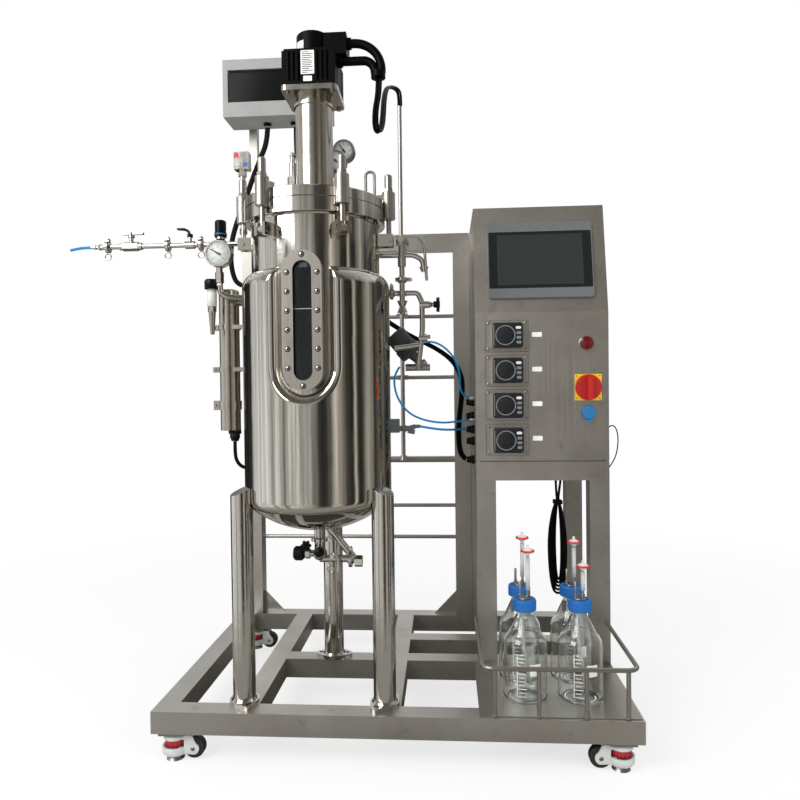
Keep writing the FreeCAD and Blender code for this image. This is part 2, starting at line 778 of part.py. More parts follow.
node("vessel_jacket", on_vessel(vessel_jacket()))


def sight_frame():
    """Obround cover frame round the sight glass, scribed to the shell, with a stepped window."""
    wall = upright_obround(d.sight_half, d.sight_low, d.sight_high, -d.sight_front, -d.sight_front + 45)
    window = upright_obround(d.window_half, d.sight_low, d.sight_high, -d.sight_front - 5, -120)
    pocket = upright_obround(d.glass_half, d.sight_low, d.sight_high,
                             -d.sight_front + d.cover_thick, -120)
    core = rod(d.shell_radius, 500, (0, 0, d.sight_low - 120))
    holes = [rod(d.sight_screw, 14, at, Y) for at in sight_screw_points(-1)]
    return cut(wall, window, pocket, core, *holes)


def sight_screw_points(stand_off=0):
    """Screws down both sides, one at the top and one at the bottom."""
    face = -d.sight_front + stand_off
    middle = (d.sight_low + d.sight_high) / 2
    points = []
    for step in range(6):
        for sign in (-1, 1):
            points.append((sign * d.screw_line, face, middle + (step - 2.5) * d.screw_pitch))
    points.append((0, face, d.sight_high + d.screw_line))
    points.append((0, face, d.sight_low - d.screw_line))
    return points


def sight_glass():
    back = -d.shell_radius - 0.2
    return upright_obround(d.glass_half - 0.3, d.sight_low, d.sight_high, back - d.glass_thick, back)


node("sight_frame", on_vessel(sight_frame()))
node("sight_glass", on_vessel(sight_glass()))


# ---------------------------------------------------------------- vessel legs and feet
LEG_ANGLES = (60, 180, 300)


def vessel_leg(angle):
    """Tube leg with a mitred head against the jacket and a drilled lozenge foot."""
    plate_low = deck
    seat = plate_low + d.foot_thick
    leg = tube(d.leg_radius, d.leg_radius - d.leg_wall, d.leg_peak - seat, (0, 0, seat))
    slope = solid(Part.makeBox(80, 120, 60), "mitre")
    slope.Placement = FreeCAD.Placement(V(-40, float(d.leg_radius), float(d.leg_peak)),
                                        FreeCAD.Rotation(X, 23)).multiply(
        FreeCAD.Placement(V(0, -120, 0), FreeCAD.Rotation()))
    leg = cut(leg, slope)
    collar = cut(cone(d.leg_radius + 4, d.leg_radius, 5, (0, 0, seat)), rod(d.leg_radius - 0.5, 10, (0, 0, seat - 1)))
    tip = float(d.foot_reach - d.foot_hole_reach)
    big = float(d.foot_half)
    reach = float(d.foot_hole_reach)
    turn = math.acos((big - tip) / reach)
    near = (big * math.cos(turn), big * math.sin(turn))
    far = (reach + tip * math.cos(turn), tip * math.sin(turn))
    outline = [(far[0], far[1], tip, 1), (near[0], near[1]), (-near[0], near[1], big, 1), (-far[0], far[1]),
               (-far[0], -far[1], tip, 1), (-near[0], -near[1]), (near[0], -near[1], big, 1), (far[0], -far[1])]
    foot = new_body("foot")
    pad(foot, outline, d.foot_thick)
    holes = [rod(d.foot_hole, d.foot_thick + 4, (sign * d.foot_hole_reach, 0, -2)) for sign in (-1, 1)]
    drilled = cut(foot, *holes)
    bind(drilled, "Placement.Base.z", plate_low)
    leg_set = fuse(leg, collar, drilled)
    return place(leg_set, round_axis(angle, d.foot_circle), angle)


def vessel_legs():
    shape = []
    for angle in LEG_ANGLES:
        r = d.jacket_radius
        rise = 70
        form = turned([(0, d.jacket_low - rise), (r, d.jacket_low, (r * r + rise * rise) / (2 * rise), 1),
                       (r, d.leg_peak + 20), (0, d.leg_peak + 20)])
        shape.append(cut(vessel_leg(angle), form))
    return group(*shape)


node("vessel_legs", on_vessel(vessel_legs()))


# ---------------------------------------------------------------- lid, gasket and what stands on the lid
def lid_plate():
    r = d.flange_radius
    disc = turned([(d.shaft_radius + 0.3, d.lid_low), (r, d.lid_low), (r, d.lid_high - 2), (r - 2, d.lid_high),
                   (d.shaft_radius + 0.3, d.lid_high)])
    notches = [rod(d.notch_radius, 60, round_axis(a, d.clamp_circle, d.lid_low - 20)) for a in CLAMP_ANGLES]
    return cut(disc, *notches)


def lid_gasket():
    return turned([(d.gasket_inner, d.flange_high), (d.gasket_outer, d.flange_high), (d.gasket_outer, d.lid_low),
                   (d.gasket_inner, d.lid_low)])


def drive_column():
    """Column with its foot and top flanges, and the square plate that carries the motor."""
    r = d.column_radius
    low = d.lid_high
    top = d.column_top
    inner = r - d.column_wall
    column = turned([(inner, low), (r + 3, low), (r + 3, low + 4), (r, low + 7), (r, top - 24), (r + 3, top - 22),
                     (r + 3, top - 15), (r - 3, top - 13), (r - 3, top), (inner - 6, top), (inner - 6, top - 6),
                     (inner, top - 12)])
    half = d.plate_side / 2
    corner = 12
    flat = half - corner
    plate = new_body("plate")
    outline = [(half, -flat, corner, 1), (half, flat), (flat, half, corner, 1), (-flat, half),
               (-half, flat, corner, 1), (-half, -flat), (-flat, -half, corner, 1), (flat, -half)]
    pad(plate, outline, d.plate_thick)
    holed = cut(plate, rod(inner - 6, 40, (0, 0, -10)))
    bind(holed, "Placement.Base.z", top)
    bolts = [prism(6, 6, 5, (sx * (half - 13), sy * (half - 13), top - 5)) for sx in (-1, 1) for sy in (-1, 1)]
    return fuse(column, holed, *bolts)


ELBOW_NEAR = 147
ELBOW_FAR = 163
ELBOW_LOW = 1570


def elbow_gland(at, out, radius, run, drop):
    """A connector elbow that leaves sideways and turns down."""
    start = vec(at)
    corner = start + out * float(run)
    bend, _, _ = bent_tube([start, corner, corner + V(0, 0, -float(drop))], radius, 0.9)
    return bend


def motor_body():
    """Servo motor with upright fins, with its end cap, encoder housing and two cable elbows."""
    low = d.column_top + d.plate_thick
    high = d.motor_high
    half = d.motor_side / 2
    block = box(d.motor_side, d.motor_side, high - low, (-half, -half, low))
    step = d.fin_pitch
    depth = d.fin_depth
    slots = []
    tall = high - low - 8
    for row in (-4, -3, -2, 2, 3, 4):
        offset = row * step - d.fin_gap / 2
        for sign in (-1, 1):
            side_at = half - depth if sign > 0 else -half - 1
            slots.append(box(d.fin_gap, depth + 1, tall, (offset, side_at, low + 9)))
            slots.append(box(depth + 1, d.fin_gap, tall, (side_at, offset, low + 9)))
    body = cut(block, *slots)
    flange = box(d.motor_side - 8, d.motor_side - 8, 6, (-half + 4, -half + 4, high))
    cap = turned([(0, high + 6), (d.encoder_radius, high + 6), (d.encoder_radius, d.encoder_high - 5),
                  (d.encoder_radius - 5, d.encoder_high, 5, 1), (0, d.encoder_high)])
    block_right = box(53, 60, 50, (30, -30, high + 4))
    upper = elbow_gland((80, -8, high + 36), X, 10, ELBOW_FAR - 80, high + 36 - ELBOW_LOW)
    lower = elbow_gland((half - 2, -8, low + 73), X, 10, ELBOW_NEAR - half + 2, low + 73 - ELBOW_LOW)
    nuts = [prism(6, 15, 9, (83, -8, high + 36), X), prism(6, 15, 9, (half, -8, low + 73), X)]
    boot = rod(17, 14, ((ELBOW_NEAR + ELBOW_FAR) / 2, -8, ELBOW_LOW - 12))
    return fuse(body, flange, cap, block_right, upper, lower, *nuts, boot)


node("lid_plate", on_vessel(lid_plate()))
node("lid_gasket", on_vessel(lid_gasket()))
node("drive_column", on_vessel(drive_column()))
node("motor_body", on_vessel(motor_body()))


# ---------------------------------------------------------------- what works inside the vessel
def agitator_shaft():
    return turned([(0, d.shaft_low), (d.shaft_radius - 3, d.shaft_low), (d.shaft_radius, d.shaft_low + 3),
                   (d.shaft_radius, d.shaft_high), (0, d.shaft_high)])


def impellers():
    """Two six-bladed disc turbines, each a hub, a disc and blades across its rim."""
    sets = []
    for height in (d.impeller_low, d.impeller_high):
        hub = tube(d.shaft_radius + 7, d.shaft_radius, 26, (0, 0, height - 13))
        disc = tube(d.impeller_disc, d.shaft_radius + 6, 2.5, (0, 0, height - 1.25))
        blades = []
        for number in range(6):
            blade = box(d.blade_length, 2, d.blade_height,
                        (d.impeller_reach - d.blade_length, -1, height - d.blade_height / 2))
            blades.append(place(fuse_one(blade), (0, 0, 0), number * 60))
        sets.append(fuse(hub, disc, *blades))
    return sets


def vessel_internals():
    """Three baffles on the shell wall and the ring sparger with its feed pipe."""
    pieces = []
    inner = d.shell_radius - d.shell_wall
    for angle in (90, 210, 330):
        strip = box(3, d.baffle_width, d.baffle_high - d.baffle_low,
                    (-1.5, -inner + 2, d.baffle_low))
        bosses = [box(8, 6, 20, (-4, -inner + 0.1, z)) for z in (d.baffle_low + 20, d.baffle_high - 60)]
        pieces.append(place(fuse(strip, *bosses), (0, 0, 0), angle))
    ring_pipe = ring(d.sparger_radius, d.sparger_rod, (0, 0, d.sparger_height))
    riser = rod(d.sparger_rod, d.lid_low - d.sparger_height, (-d.sparger_radius, 0, d.sparger_height))
    pieces.append(fuse(ring_pipe, riser))
    return group(*pieces)


node("agitator", on_vessel(fuse(agitator_shaft(), *impellers())))
node("vessel_internals", on_vessel(vessel_internals()))


# ---------------------------------------------------------------- lid fittings
def dial_gauge(centre_at, radius, depth, stem, face=V(0, -1, 0)):
    """Round dial case with a bezel lip and a stem that runs down from it."""
    at = vec(centre_at)
    case = new_body("gauge")
    revolve(case, [(0, 0), (radius, 0), (radius, depth - 2), (radius - 2, depth), (radius - 4, depth),
                   (radius - 4, depth - 3), (0, depth - 3)])
    case = fuse_one(case)
    case.Placement = FreeCAD.Placement(at, turn_to(face))
    shank = rod(5, stem, (at.x, at.y + face.y * depth / 2, at.z - radius - stem + 2))
    nut = prism(6, 8, 10, (at.x, at.y + face.y * depth / 2, at.z - radius - 12))
    return fuse(case, shank, nut)


SENSOR_EXIT = V(0.6, 0.8, 0)


def lid_fittings():
    """Sensor and caps on the lid, and the bent rod that guards its connector."""
    top = float(d.lid_high)
    pieces = []
    x, y = -58, 21
    pieces.append(fuse(rod(14, 50, (x, y, top)), prism(6, 13, 22, (x, y, top + 50)), rod(8, 36, (x, y, top + 70)),
                       rod(5.5, 19, (x, y, top + 104)), ball(7, (x, y, top + 125)),
                       rod(4.5, 14, (x, y, top + 125), SENSOR_EXIT)))
    pieces.append(fuse(tube(20, 16, 14, (4, -98, top)), rod(17, 9, (4, -98, top))))
    pieces.append(fuse(rod(10, 34, (82, 84, top)), ball(10, (82, 84, top + 34)),
                       rod(10, 34, (82, 84, top + 34), V(-1, 0, 0.25))))
    loop, _, _ = bent_tube([(112, 82, top), (112, 82, top + 98), (134, 82, top + 98), (134, 82, top)],
                           3.5, 0.45)
    pieces.append(loop)
    return pieces


def lid_gauges():
    """Two pressure gauges on the lid with their siphon stems."""
    top = float(d.lid_high)
    high = dial_gauge((56, 112, top + 157), 28, 24, 110)
    stand = rod(9, 24, (56, 100, top))
    low = dial_gauge((39, 84, top + 124), 27, 22, 84)
    stand_low = rod(9, 18, (39, 73, top))
    return [fuse(high, stand), fuse(low, stand_low)]


node("lid_fittings", on_vessel(group(*lid_fittings(), *lid_gauges())))


# ---------------------------------------------------------------- breaker box on its mast
def breaker_box():
    w, t, h = d.box_width, d.box_depth, d.box_height
    left, front, low = d.box_left, d.box_front, d.box_low
    case = box(w, t, h, (left, front, low))
    recess = box(w - 30, 12, d.door_height + 6, (left + 15, front - 1, d.door_low - 3))
    pit = box(w - 50, 40, d.door_height - 22, (left + 25, front, d.door_low + 11))
    case = cut(case, recess, pit)
    lug = box(5, 9, 6, (left + 15, front + 2, d.door_low + d.door_height - 8))
    lugs = [rod(2, 9, (left + 10, front + 5, d.door_low + d.door_height - 3), X),
            rod(2, 9, (left + w - 19, front + 5, d.door_low + d.door_height - 3), X)]
    rail = box(w - 50, 6, 35, (left + 25, front + 34, d.door_low + 28))
    breakers = []
    for number in range(7):
        x = left + 34 + number * 36
        body = box(34, 22, 66, (x, front + 12, d.door_low + 13))
        toggle = box(8, 6.5, 14, (x + 13, front + 6, d.door_low + 38))
        breakers.append(fuse(body, toggle))
    glands = [rod(9, 14, (x, front + 62, low - 14)) for x in (left + 120, left + 205)]
    return fuse(case, *lugs, rail, *breakers, *glands)


def breaker_door():
    """Smoked flap hinged along its top edge, with a finger tab below."""
    w = d.box_width - 34
    left = d.box_left + 17
    front = d.box_front
    high = d.door_low + d.door_height
    flap = box(w, d.door_thick, d.door_height - 1, (left, front + 2, d.door_low))
    barrel = rod(4, w - 8, (left + 4, front + 5, high - 3), X)
    tab = box(26, 5, 9, (left + w / 2 - 13, front - 3, d.door_low - 1))
    bore = rod(2.1, w + 40, (left - 20, front + 5, high - 3), X)
    return cut(fuse(flap, barrel, tab), bore)


node("breaker_box", breaker_box())
node("breaker_door", breaker_door())


# ---------------------------------------------------------------- hygienic fittings used on both sides
def tri_clamp(at, along, wing, size=1.0, pull=False):
    """Two ferrules in a hinged band with its wing nut, and a ring pull where one hangs."""
    at = vec(at)
    lips = fuse(cone(8 * size, 12.7 * size, 5, at - along * 8.5, along),
                cone(12.7 * size, 8 * size, 5, at + along * 3.5, along))
    band = rod(d.clamp_band * size, 7, at - along * 3.5, along)
    bolt_at = at + wing * float(d.clamp_band) * size
    lug = mid_box(9, 9, 9, (bolt_at.x, bolt_at.y, bolt_at.z))
    side_way = along.cross(wing)
    wings = rod(3, 16, bolt_at + side_way * -8 + wing * 5, side_way)
    pieces = [lips, band, lug, wings]
    if pull:
        down = at + V(0, 0, -float(d.clamp_band) * size - 9)
        pieces.append(ring(8, 1.6, down, Y))
        pieces.append(rod(1.6, 6, at + V(0, 0, -float(d.clamp_band) * size - 3.5)))
    return fuse(*pieces)


def from_vessel(shape, radius):
    """Trim a pipe where it meets the vessel wall of that radius."""
    return cut(shape, rod(radius, 700, (d.vessel_x, d.vessel_y, 600)))


# ---------------------------------------------------------------- air line, regulator and jacket outlet
line_y = d.line_y
line_z = d.line_height
NECK_REACH = -305


def air_line():
    """Hose barb, ball valve, lever valve and regulator in a row, ending in the vessel's neck."""
    left = -752
    tail = [rod(3.4, 27, (left - 25, line_y, line_z), X), cone(4.5, 5.5, 8, (left - 20, line_y, line_z), X),
            cone(5.5, 8, 6, (left - 6, line_y, line_z), X)]
    run = rod(d.line_tube, NECK_REACH - left, (left, line_y, line_z), X)
    clamps = [tri_clamp((x, line_y, line_z), X, V(0, 0, 1), 0.9, True) for x in (-733, -576, -490)]
    valve = fuse(prism(6, 12, 40, (-692, line_y, line_z), X), rod(9, 58, (-701, line_y, line_z), X),
                 rod(5, 30, (-671, line_y, line_z)))
    lever_seat = fuse(rod(9.5, 24, (-530, line_y, line_z), X), rod(4.5, 26, (-518, line_y, line_z)))
    bowl = turned([(0, -28), (12, -28, 14, 1), (14, -4), (14, 8), (11, 12), (11, 20), (0, 20)])
    regulator = fuse_one(bowl)
    regulator.Placement = FreeCAD.Placement(V(-439, float(line_y), float(line_z)), FreeCAD.Rotation())
    return fuse(*tail, from_vessel(run, d.shell_radius), *clamps, valve, lever_seat, regulator)


def air_valve_lever():
    """Flat T handle of the ball valve, drawn round its stem."""
    bar = box(54, 12, 5, (-23, -6, 8))
    hub = rod(8, 13, (0, 0, 0))
    return cut(fuse(hub, bar), rod(5.05, 30, (0, 0, -18)))


def lever_handle():
    """Curved flat lever of the second valve, drawn round its stem."""
    hub = rod(7, 8, (0, 0, 0))
    arm, _, _ = bent_tube([(0, 0, 6), (-4, 0, 16), (-13, 0, 20), (-26, 0, 21)], 3.2, 0.42)
    blade = box(20, 12, 3.5, (-32, -6, 19.5))
    return cut(fuse(hub, arm, blade), rod(4.55, 27.5, (0, 0, -20)))


def regulator_knob():
    """Tall ribbed cap of the pressure regulator."""
    barrel = turned([(0, 0), (15, 0), (15, 12), (13, 14), (13, 40), (11, 42), (0, 42)])
    ribs = [place(fuse_one(box(2.4, 2.4, 24, (-1.2, 12, 15))), (0, 0, 0), step * 45) for step in range(8)]
    return cut(fuse(barrel, *ribs), rod(11.3, 5, (0, 0, -1)))


node("air_valve_lever", place(air_valve_lever(), (-671, d.line_y, d.line_height + 22.3)))
node("lever_handle", place(lever_handle(), (-518, d.line_y, d.line_height + 19.3)))
node("regulator_knob", place(regulator_knob(), (-439, d.line_y, d.line_height + 17.3)))


def jacket_outlet():
    """Gauge tee, relief valve and the bend that runs into the jacket."""
    x, y = -428, -176
    gauge = dial_gauge((x, y + 12, 1165), 33, 24, 14)
    tee = fuse(prism(6, 11, 26, (x, y, 1094)), rod(6.5, 26, (x, y, 1100)))
    bend, _, _ = bent_tube([(x, y, 1096), (x + 1, y, 1070), (-412, y + 2, 1060), (-385, -168, 1058),
                            (-352, -160, 1058), (-325, -152, 1058)], 7.5, 0.45)
    bend = from_vessel(bend, d.jacket_radius)
    side = x - 20
    relief = fuse(rod(8, 24, (side, y, 1088), X), prism(8, 17, 16, (side, y, 1080)), rod(14, 12, (side, y, 1090)),
                  rod(11, 44, (side, y, 1036)), prism(6, 11, 14, (side, y, 1024)), cone(5, 9, 56, (side, y, 968)))
    return fuse(gauge, tee, bend, relief)


def flow_meter():
    """Small variable-area meter standing on the air line behind the clamps."""
    y = float(line_y) + 24
    body = box(38, 26, 44, (-406, y - 13, 1390))
    tube_part = rod(7, 150, (-387, y, 1242))
    union = prism(6, 11, 16, (-387, y, 1374))
    foot = fuse(prism(6, 10, 14, (-387, y, 1228)), rod(5, 34, (-387, y, 1196)), rod(5, 30, (-387, y - 26, 1199), Y))
    return fuse(body, tube_part, union, foot)


def heater_tube():
    """Jacket heater in its sleeve, held off the jacket by two strap clamps, with a gland below."""
    x, y = d.heater_x, d.line_y
    r = d.heater_radius
    low, high = d.heater_low, d.heater_high
    body = turned([(0, low), (r - 1, low), (r, low + 1), (r, high - 6), (r - 6, high, 6, 1), (0, high)])
    sleeve = fuse_one(body)
    bind(sleeve, "Placement.Base.x", x)
    bind(sleeve, "Placement.Base.y", y)
    pieces = [sleeve]
    jacket = rod(d.jacket_radius, 500, (d.vessel_x, d.vessel_y, 650))
    for height, tall in ((988, 12), (882, 12), (792, 22)):
        band = rod(r + 3, tall, (x, y, height - tall / 2))
        clasp = box(22, 12, tall + 2, (x - r - 17, y - 6, height - tall / 2 - 1))
        pin = rod(3, 22, (x - r - 12, y - 11, height), Y)
        pieces += [band, clasp, pin]
        if tall == 12:
            pieces.append(cut(box(90, 14, 10, (x + 10, y - 24, height - 5)), jacket))
    gland = [prism(6, 14, 10, (x + 10, y, low - 10)), cone(8, 12, 18, (x + 10, y, low - 28))]
    link = fuse(rod(8, 80, (x + 6, y, high - 30), X), prism(6, 11, 12, (x + r - 3, y, high - 30), X))
    return fuse(*pieces, *gland, cut(link, jacket))


node("air_line", group(air_line(), flow_meter()))
node("jacket_heater", group(heater_tube(), jacket_outlet()))


# ---------------------------------------------------------------- pipework on the right of the vessel
pipe_y = d.pipe_y
STACK_X = 20


def right_pipework():
    """Two branches off the vessel joined by a valve stack, with the drop pipe and its side valves."""
    y = float(pipe_y)
    tube_r = float(d.pipe_tube)
    upper = float(d.upper_pipe)
    lower = float(d.lower_pipe)
    drop = float(d.drop_x)
    top_run, _, _ = bent_tube([(-60, y, upper), (STACK_X + 30, y, upper), (drop + 4, y, upper - 12),
                               (drop + 8, y, upper - 32)], tube_r, 0.45)
    mouth = cone(tube_r, tube_r + 5, 12, (drop + 8, y, upper - 42))
    low_run, _, _ = bent_tube([(-50, y, lower), (drop - 8, y, lower), (drop + 2, y, lower - 22), (drop + 3, y, 972),
                               (drop - 8, y, 886)], tube_r, 0.3)
    stack = [rod(9, 46, (STACK_X, y, upper - 6)), prism(6, 14, 16, (STACK_X, y, upper + 22)),
             rod(10, 40, (STACK_X, y, upper - 28)), rod(tube_r, 160, (STACK_X, y, 1012)),
             tri_clamp((STACK_X, y, 1096), Z, X, 1.0), tri_clamp((STACK_X - 26, y, lower), X, Z, 0.9),
             cone(7, 13, 14, (STACK_X, y, 1030)), cone(13, 7, 14, (STACK_X, y, 1016)), rod(12, 12, (STACK_X, y, 1056))]
    top_run = from_vessel(top_run, d.shell_radius)
    low_run = from_vessel(low_run, d.jacket_radius)
    valve = [rod(9, 22, (drop - 4, y, 1034), X), rod(5, 22, (drop + 16, y, 1034), X), ball(8, (drop + 20, y, 1034))]
    tee = [rod(9, 20, (drop - 6, y, 952), X), prism(6, 9, 10, (drop + 4, y, 953), V(1, 0, 0.12)),
           rod(5, 14, (drop + 8, y, 954), V(1, 0, 0.12))]
    branch = rod(6, 62, (drop - 66, y, 928), V(1, 0, 0.12))
    hub = fuse(rod(9, 28, (STACK_X, y - 22, upper + 34), Y), prism(6, 8, 4, (STACK_X, y - 26, upper + 34), Y))
    lever, _, _ = bent_tube([(STACK_X - 14, y - 17, upper + 41), (drop, y - 17, upper + 41), (drop + 10, y - 17, upper + 18),
                             (drop + 15, y - 17, upper - 66)], 3.6, 0.45)
    return fuse(top_run, mouth, low_run, *stack, *valve, *tee, branch, hub, lever)


def actuator():
    """Tilted pneumatic actuator on its angle-seat valve, fed from the drop pipe."""
    lean = V(0.66, 0, -0.75)
    head = V(-6, float(pipe_y) + 62, 968)
    body = new_body("actuator")
    revolve(body, [(0, 0), (24, 0), (29, 5, 5, 1), (29, 12), (27.5, 13), (27.5, 40), (30, 42), (30, 66), (27, 70),
                   (13, 72), (10, 86), (10, 98), (0, 98)])
    shaped = fuse_one(body)
    shaped.Placement = FreeCAD.Placement(head, turn_to(lean))
    seat = head + lean * 98
    bonnet = prism(6, 15, 14, seat, lean)
    run = rod(9, 62, seat + V(-36, 0, -12), V(1, 0, 0))
    link = rod(6, 55, V(float(d.drop_x) - 8, float(pipe_y) + 6.6, 886), V(0, 1, -0.12))
    return fuse(shaped, bonnet, run, link)


def handwheel():
    """Five-lobed black wheel, drawn round its stem along x."""
    hub = rod(8, 16, (0, 0, 0), X)
    rim = rod(15, 8, (7, 0, 0), X)
    lobes = [rod(5.5, 8, (7, 13 * math.cos(a), 13 * math.sin(a)), X)
             for a in [2 * math.pi * i / 5 for i in range(5)]]
    return cut(fuse(hub, rim, *lobes), rod(5.05, 30, (-20, 0, 0), X))


node("right_pipework", right_pipework())
node("valve_handwheel", place(handwheel(), (d.drop_x + 30.3, d.pipe_y, 1034)))


def solenoid_block():
    """Solenoid valve on the jacket's supply stub, with its push fittings."""
    y = -100
    coil = fuse(box(26, 30, 34, (-20, y - 15, 718)), rod(13, 14, (-8, y, 736), V(-0.3, 0, 1)))
    stub = from_vessel(rod(8, 60, (-60, y, 730), X), d.jacket_radius)
    tee = fuse(rod(7, 22, (6, y, 728), X), prism(6, 9, 9, (14, y, 728), X), rod(6, 20, (27, y, 728), V(1, 0, 0.25)),
               rod(6, 18, (27, y, 722), V(1, 0, -0.2)), rod(4.6, 14, (44, y, 733), X))
    return fuse(coil, stub, tee)


def bottom_valves():
    """Drain pipe, sample valve body and the slanting return pipe below the dish."""
    x, y = float(d.vessel_x), float(d.vessel_y)
    slant = rod(9, 104, (x + 22, y, 500), V(0.62, 0, -0.78))
    elbow = prism(6, 14, 18, (x + 84, y, 418), X)
    clamp_a = tri_clamp((x, y, 470), Z, X, 1.2)
    clamp_b = tri_clamp((x + 74, y, 424), X, Z, 1.2)
    body = fuse(ball(17, (x, y, 436)), rod(9, 70, (x, y, 424), X))
    side_pipe = rod(8, 36, (x - 36, y, 436), X)
    side_nut = fuse(prism(6, 13, 10, (x - 34, y, 436), X), rod(4, 12, (x - 46, y, 436), X))
    hook, _, _ = bent_tube([(x + 30, y - 18, 436), (x + 40, y - 20, 440), (x + 48, y - 20, 424), (x + 48, y - 20, 396)],
                           4, 0.42)
    hub = rod(5, 26, (x + 32, y - 22, 434), Y)
    loop = ring(8, 1.6, (x + 26, y - 6, 400), Y)
    tie = rod(1.8, 14, (x + 26, y - 6, 407))
    dish = d.jacket_radius
    rise = 70
    form = turned([(0, d.jacket_low - rise), (dish, d.jacket_low, (dish * dish + rise * rise) / (2 * rise), 1),
                   (dish, d.jacket_low + 60), (0, d.jacket_low + 60)])
    held = fuse_one(form)
    held.Placement = FreeCAD.Placement(V(x, y, 0), FreeCAD.Rotation())
    drain = rod(d.drain_radius, 200, (x, y, 430))
    whole = fuse(slant, elbow, clamp_a, clamp_b, body, side_pipe, side_nut, hook, hub, loop, tie)
    return cut(whole, held, drain)


def sample_knob():
    """Black ribbed knob of the sampling valve, drawn round its stem along -x."""
    barrel = new_body("knob")
    revolve(barrel, [(0, 0), (11, 0), (16, 6), (16, 24), (13, 27), (0, 27)])
    shaped = fuse_one(barrel)
    shaped.Placement = FreeCAD.Placement(V(0, 0, 0), turn_to(V(-1, 0, 0)))
    ribs = [rod(2.6, 16, V(-7, 15 * math.cos(a), 15 * math.sin(a)), V(-1, 0, 0))
            for a in [math.pi * i / 4 for i in range(8)]]
    return cut(fuse(shaped, *ribs), rod(4.06, 11, (-11, 0, 0), X))


node("valve_actuators", group(actuator(), solenoid_block()))
node("bottom_valves", bottom_valves())
node("sample_knob", place(sample_knob(), (d.vessel_x - 36.3, d.vessel_y, 436)))


# ---------------------------------------------------------------- cabinet
lean_angle = math.degrees(math.atan2(float(d.cabinet_lean), float(d.cabinet_high - d.cabinet_bend)))
cab_left = d.cabinet_left
cab_front = d.cabinet_front
GLAND_Y = 60
GLAND_HEIGHTS = (790, 752, 715, 683, 632)
HANK_X = 437


def cabinet_profile(gap):
    """Side outline: upright front, leaning upper panel, flat top and back."""
    return [(cab_front + gap, d.cabinet_low + gap), (d.cabinet_back - gap, d.cabinet_low + gap),
            (d.cabinet_back - gap, d.cabinet_high - gap), (cab_front + d.cabinet_lean + gap, d.cabinet_high - gap),
            (cab_front + gap, d.cabinet_bend)]


def cabinet_shell():
    """Folded stainless case with a seam above its base, glands on its left and a cable hole below."""
    skin = new_body("case")
    pad(skin, cabinet_profile(0), d.cabinet_width, "YZ_Plane", cab_left)
    hollow = new_body("case_inside")
    wall = d.sheet_metal
    pad(hollow, cabinet_profile(wall), d.cabinet_width - 2 * wall, "YZ_Plane", cab_left + wall)
    hole = rod(26, 20, (HANK_X, 60, d.cabinet_low - 10))
    depth = d.cabinet_back - cab_front
    seam = cut(box(d.cabinet_width + 4, depth + 4, 2, (cab_left - 2, cab_front - 2, 637)),
               box(d.cabinet_width - 2, depth - 2, 6, (cab_left + 1, cab_front + 1, 635)))
    glands = []
    for height in GLAND_HEIGHTS:
        at = (cab_left, GLAND_Y, height)
        glands.append(prism(6, 11, 7, at, V(-1, 0, 0)))
        glands.append(cone(9.5, 7, 16, (cab_left - 7, GLAND_Y, height), V(-1, 0, 0)))
    return fuse(cut(skin, hollow, hole, seam), *glands)


def on_lean(obj):
    """Place what is drawn on the upright panel line onto the leaning panel."""
    at = V(float(d.hmi_x), float(cab_front), float(d.cabinet_bend))
    obj.Placement = FreeCAD.Placement(at, FreeCAD.Rotation(X, -lean_angle))
    return obj


def hmi_panel():
    """Touch screen in a bezel with rounded corners, standing proud of the leaning panel."""
    w = d.hmi_width / 2
    low = d.hmi_rise
    high = low + d.hmi_height
    r = 8
    outline = [(w, low + r, r, 1), (w, high - r), (w - r, high, r, 1), (-w + r, high), (-w, high - r, r, 1),
               (-w, low + r), (-w + r, low, r, 1), (w - r, low)]
    bezel = new_body("bezel")
    pad(bezel, outline, 8, "XZ_Plane")
    screen = box(222, 4, 150, (-111, -10.5, low + 26))
    return on_lean(cut(bezel, screen))


def pump_heads():
    """Four pump plates, each with a head that has a round track, tube lanes and a smoked cover rim."""
    heads = []
    for number in range(4):
        z = d.pump_high - number * d.pump_pitch
        x = d.pump_x
        pw, ph = d.pump_plate_width, d.pump_plate_height
        hw, hh = d.pump_head_width, d.pump_head_height
        plate = box(pw, 3, ph, (x - pw / 2, cab_front - 3, z - ph / 2))
        head = box(hw, 26, hh, (x - hw / 2, cab_front - 29, z - hh / 2))
        track = rod(d.rotor_radius + 4, 20, (x - 6, cab_front - 30, z), Y)
        lanes = [box(40, 20, 7, (x + 4, cab_front - 30, z + way)) for way in (13, -20)]
        corners_at = [(x + sx * (pw / 2 - 7), cab_front - 5, z + sz * (ph / 2 - 7))
                      for sx in (-1, 1) for sz in (-1, 1)]
        screws = [rod(3.4, 2, at, Y) for at in corners_at]
        heads.append(fuse(plate, cut(head, track, *lanes), rod(4, 23, (x - 6, cab_front - 26, z), Y), *screws))
    return group(*heads)


def pump_rotor():
    """Three rollers between a hub and a face disc, drawn round its spindle along -y."""
    disc = rod(d.rotor_radius - 3, 3, (0, -14, 0), Y)
    hub = rod(9, 14, (0, -14, 0), Y)
    rollers = []
    for number in range(3):
        a = 2 * math.pi * number / 3 + math.pi / 2
        reach = float(d.rotor_radius) - 5.5
        rollers.append(rod(5.2, 13, (reach * math.cos(a), -13, reach * math.sin(a)), Y))
    return cut(fuse(disc, hub, *rollers), rod(4.06, 18, (0, -16, 0), Y))


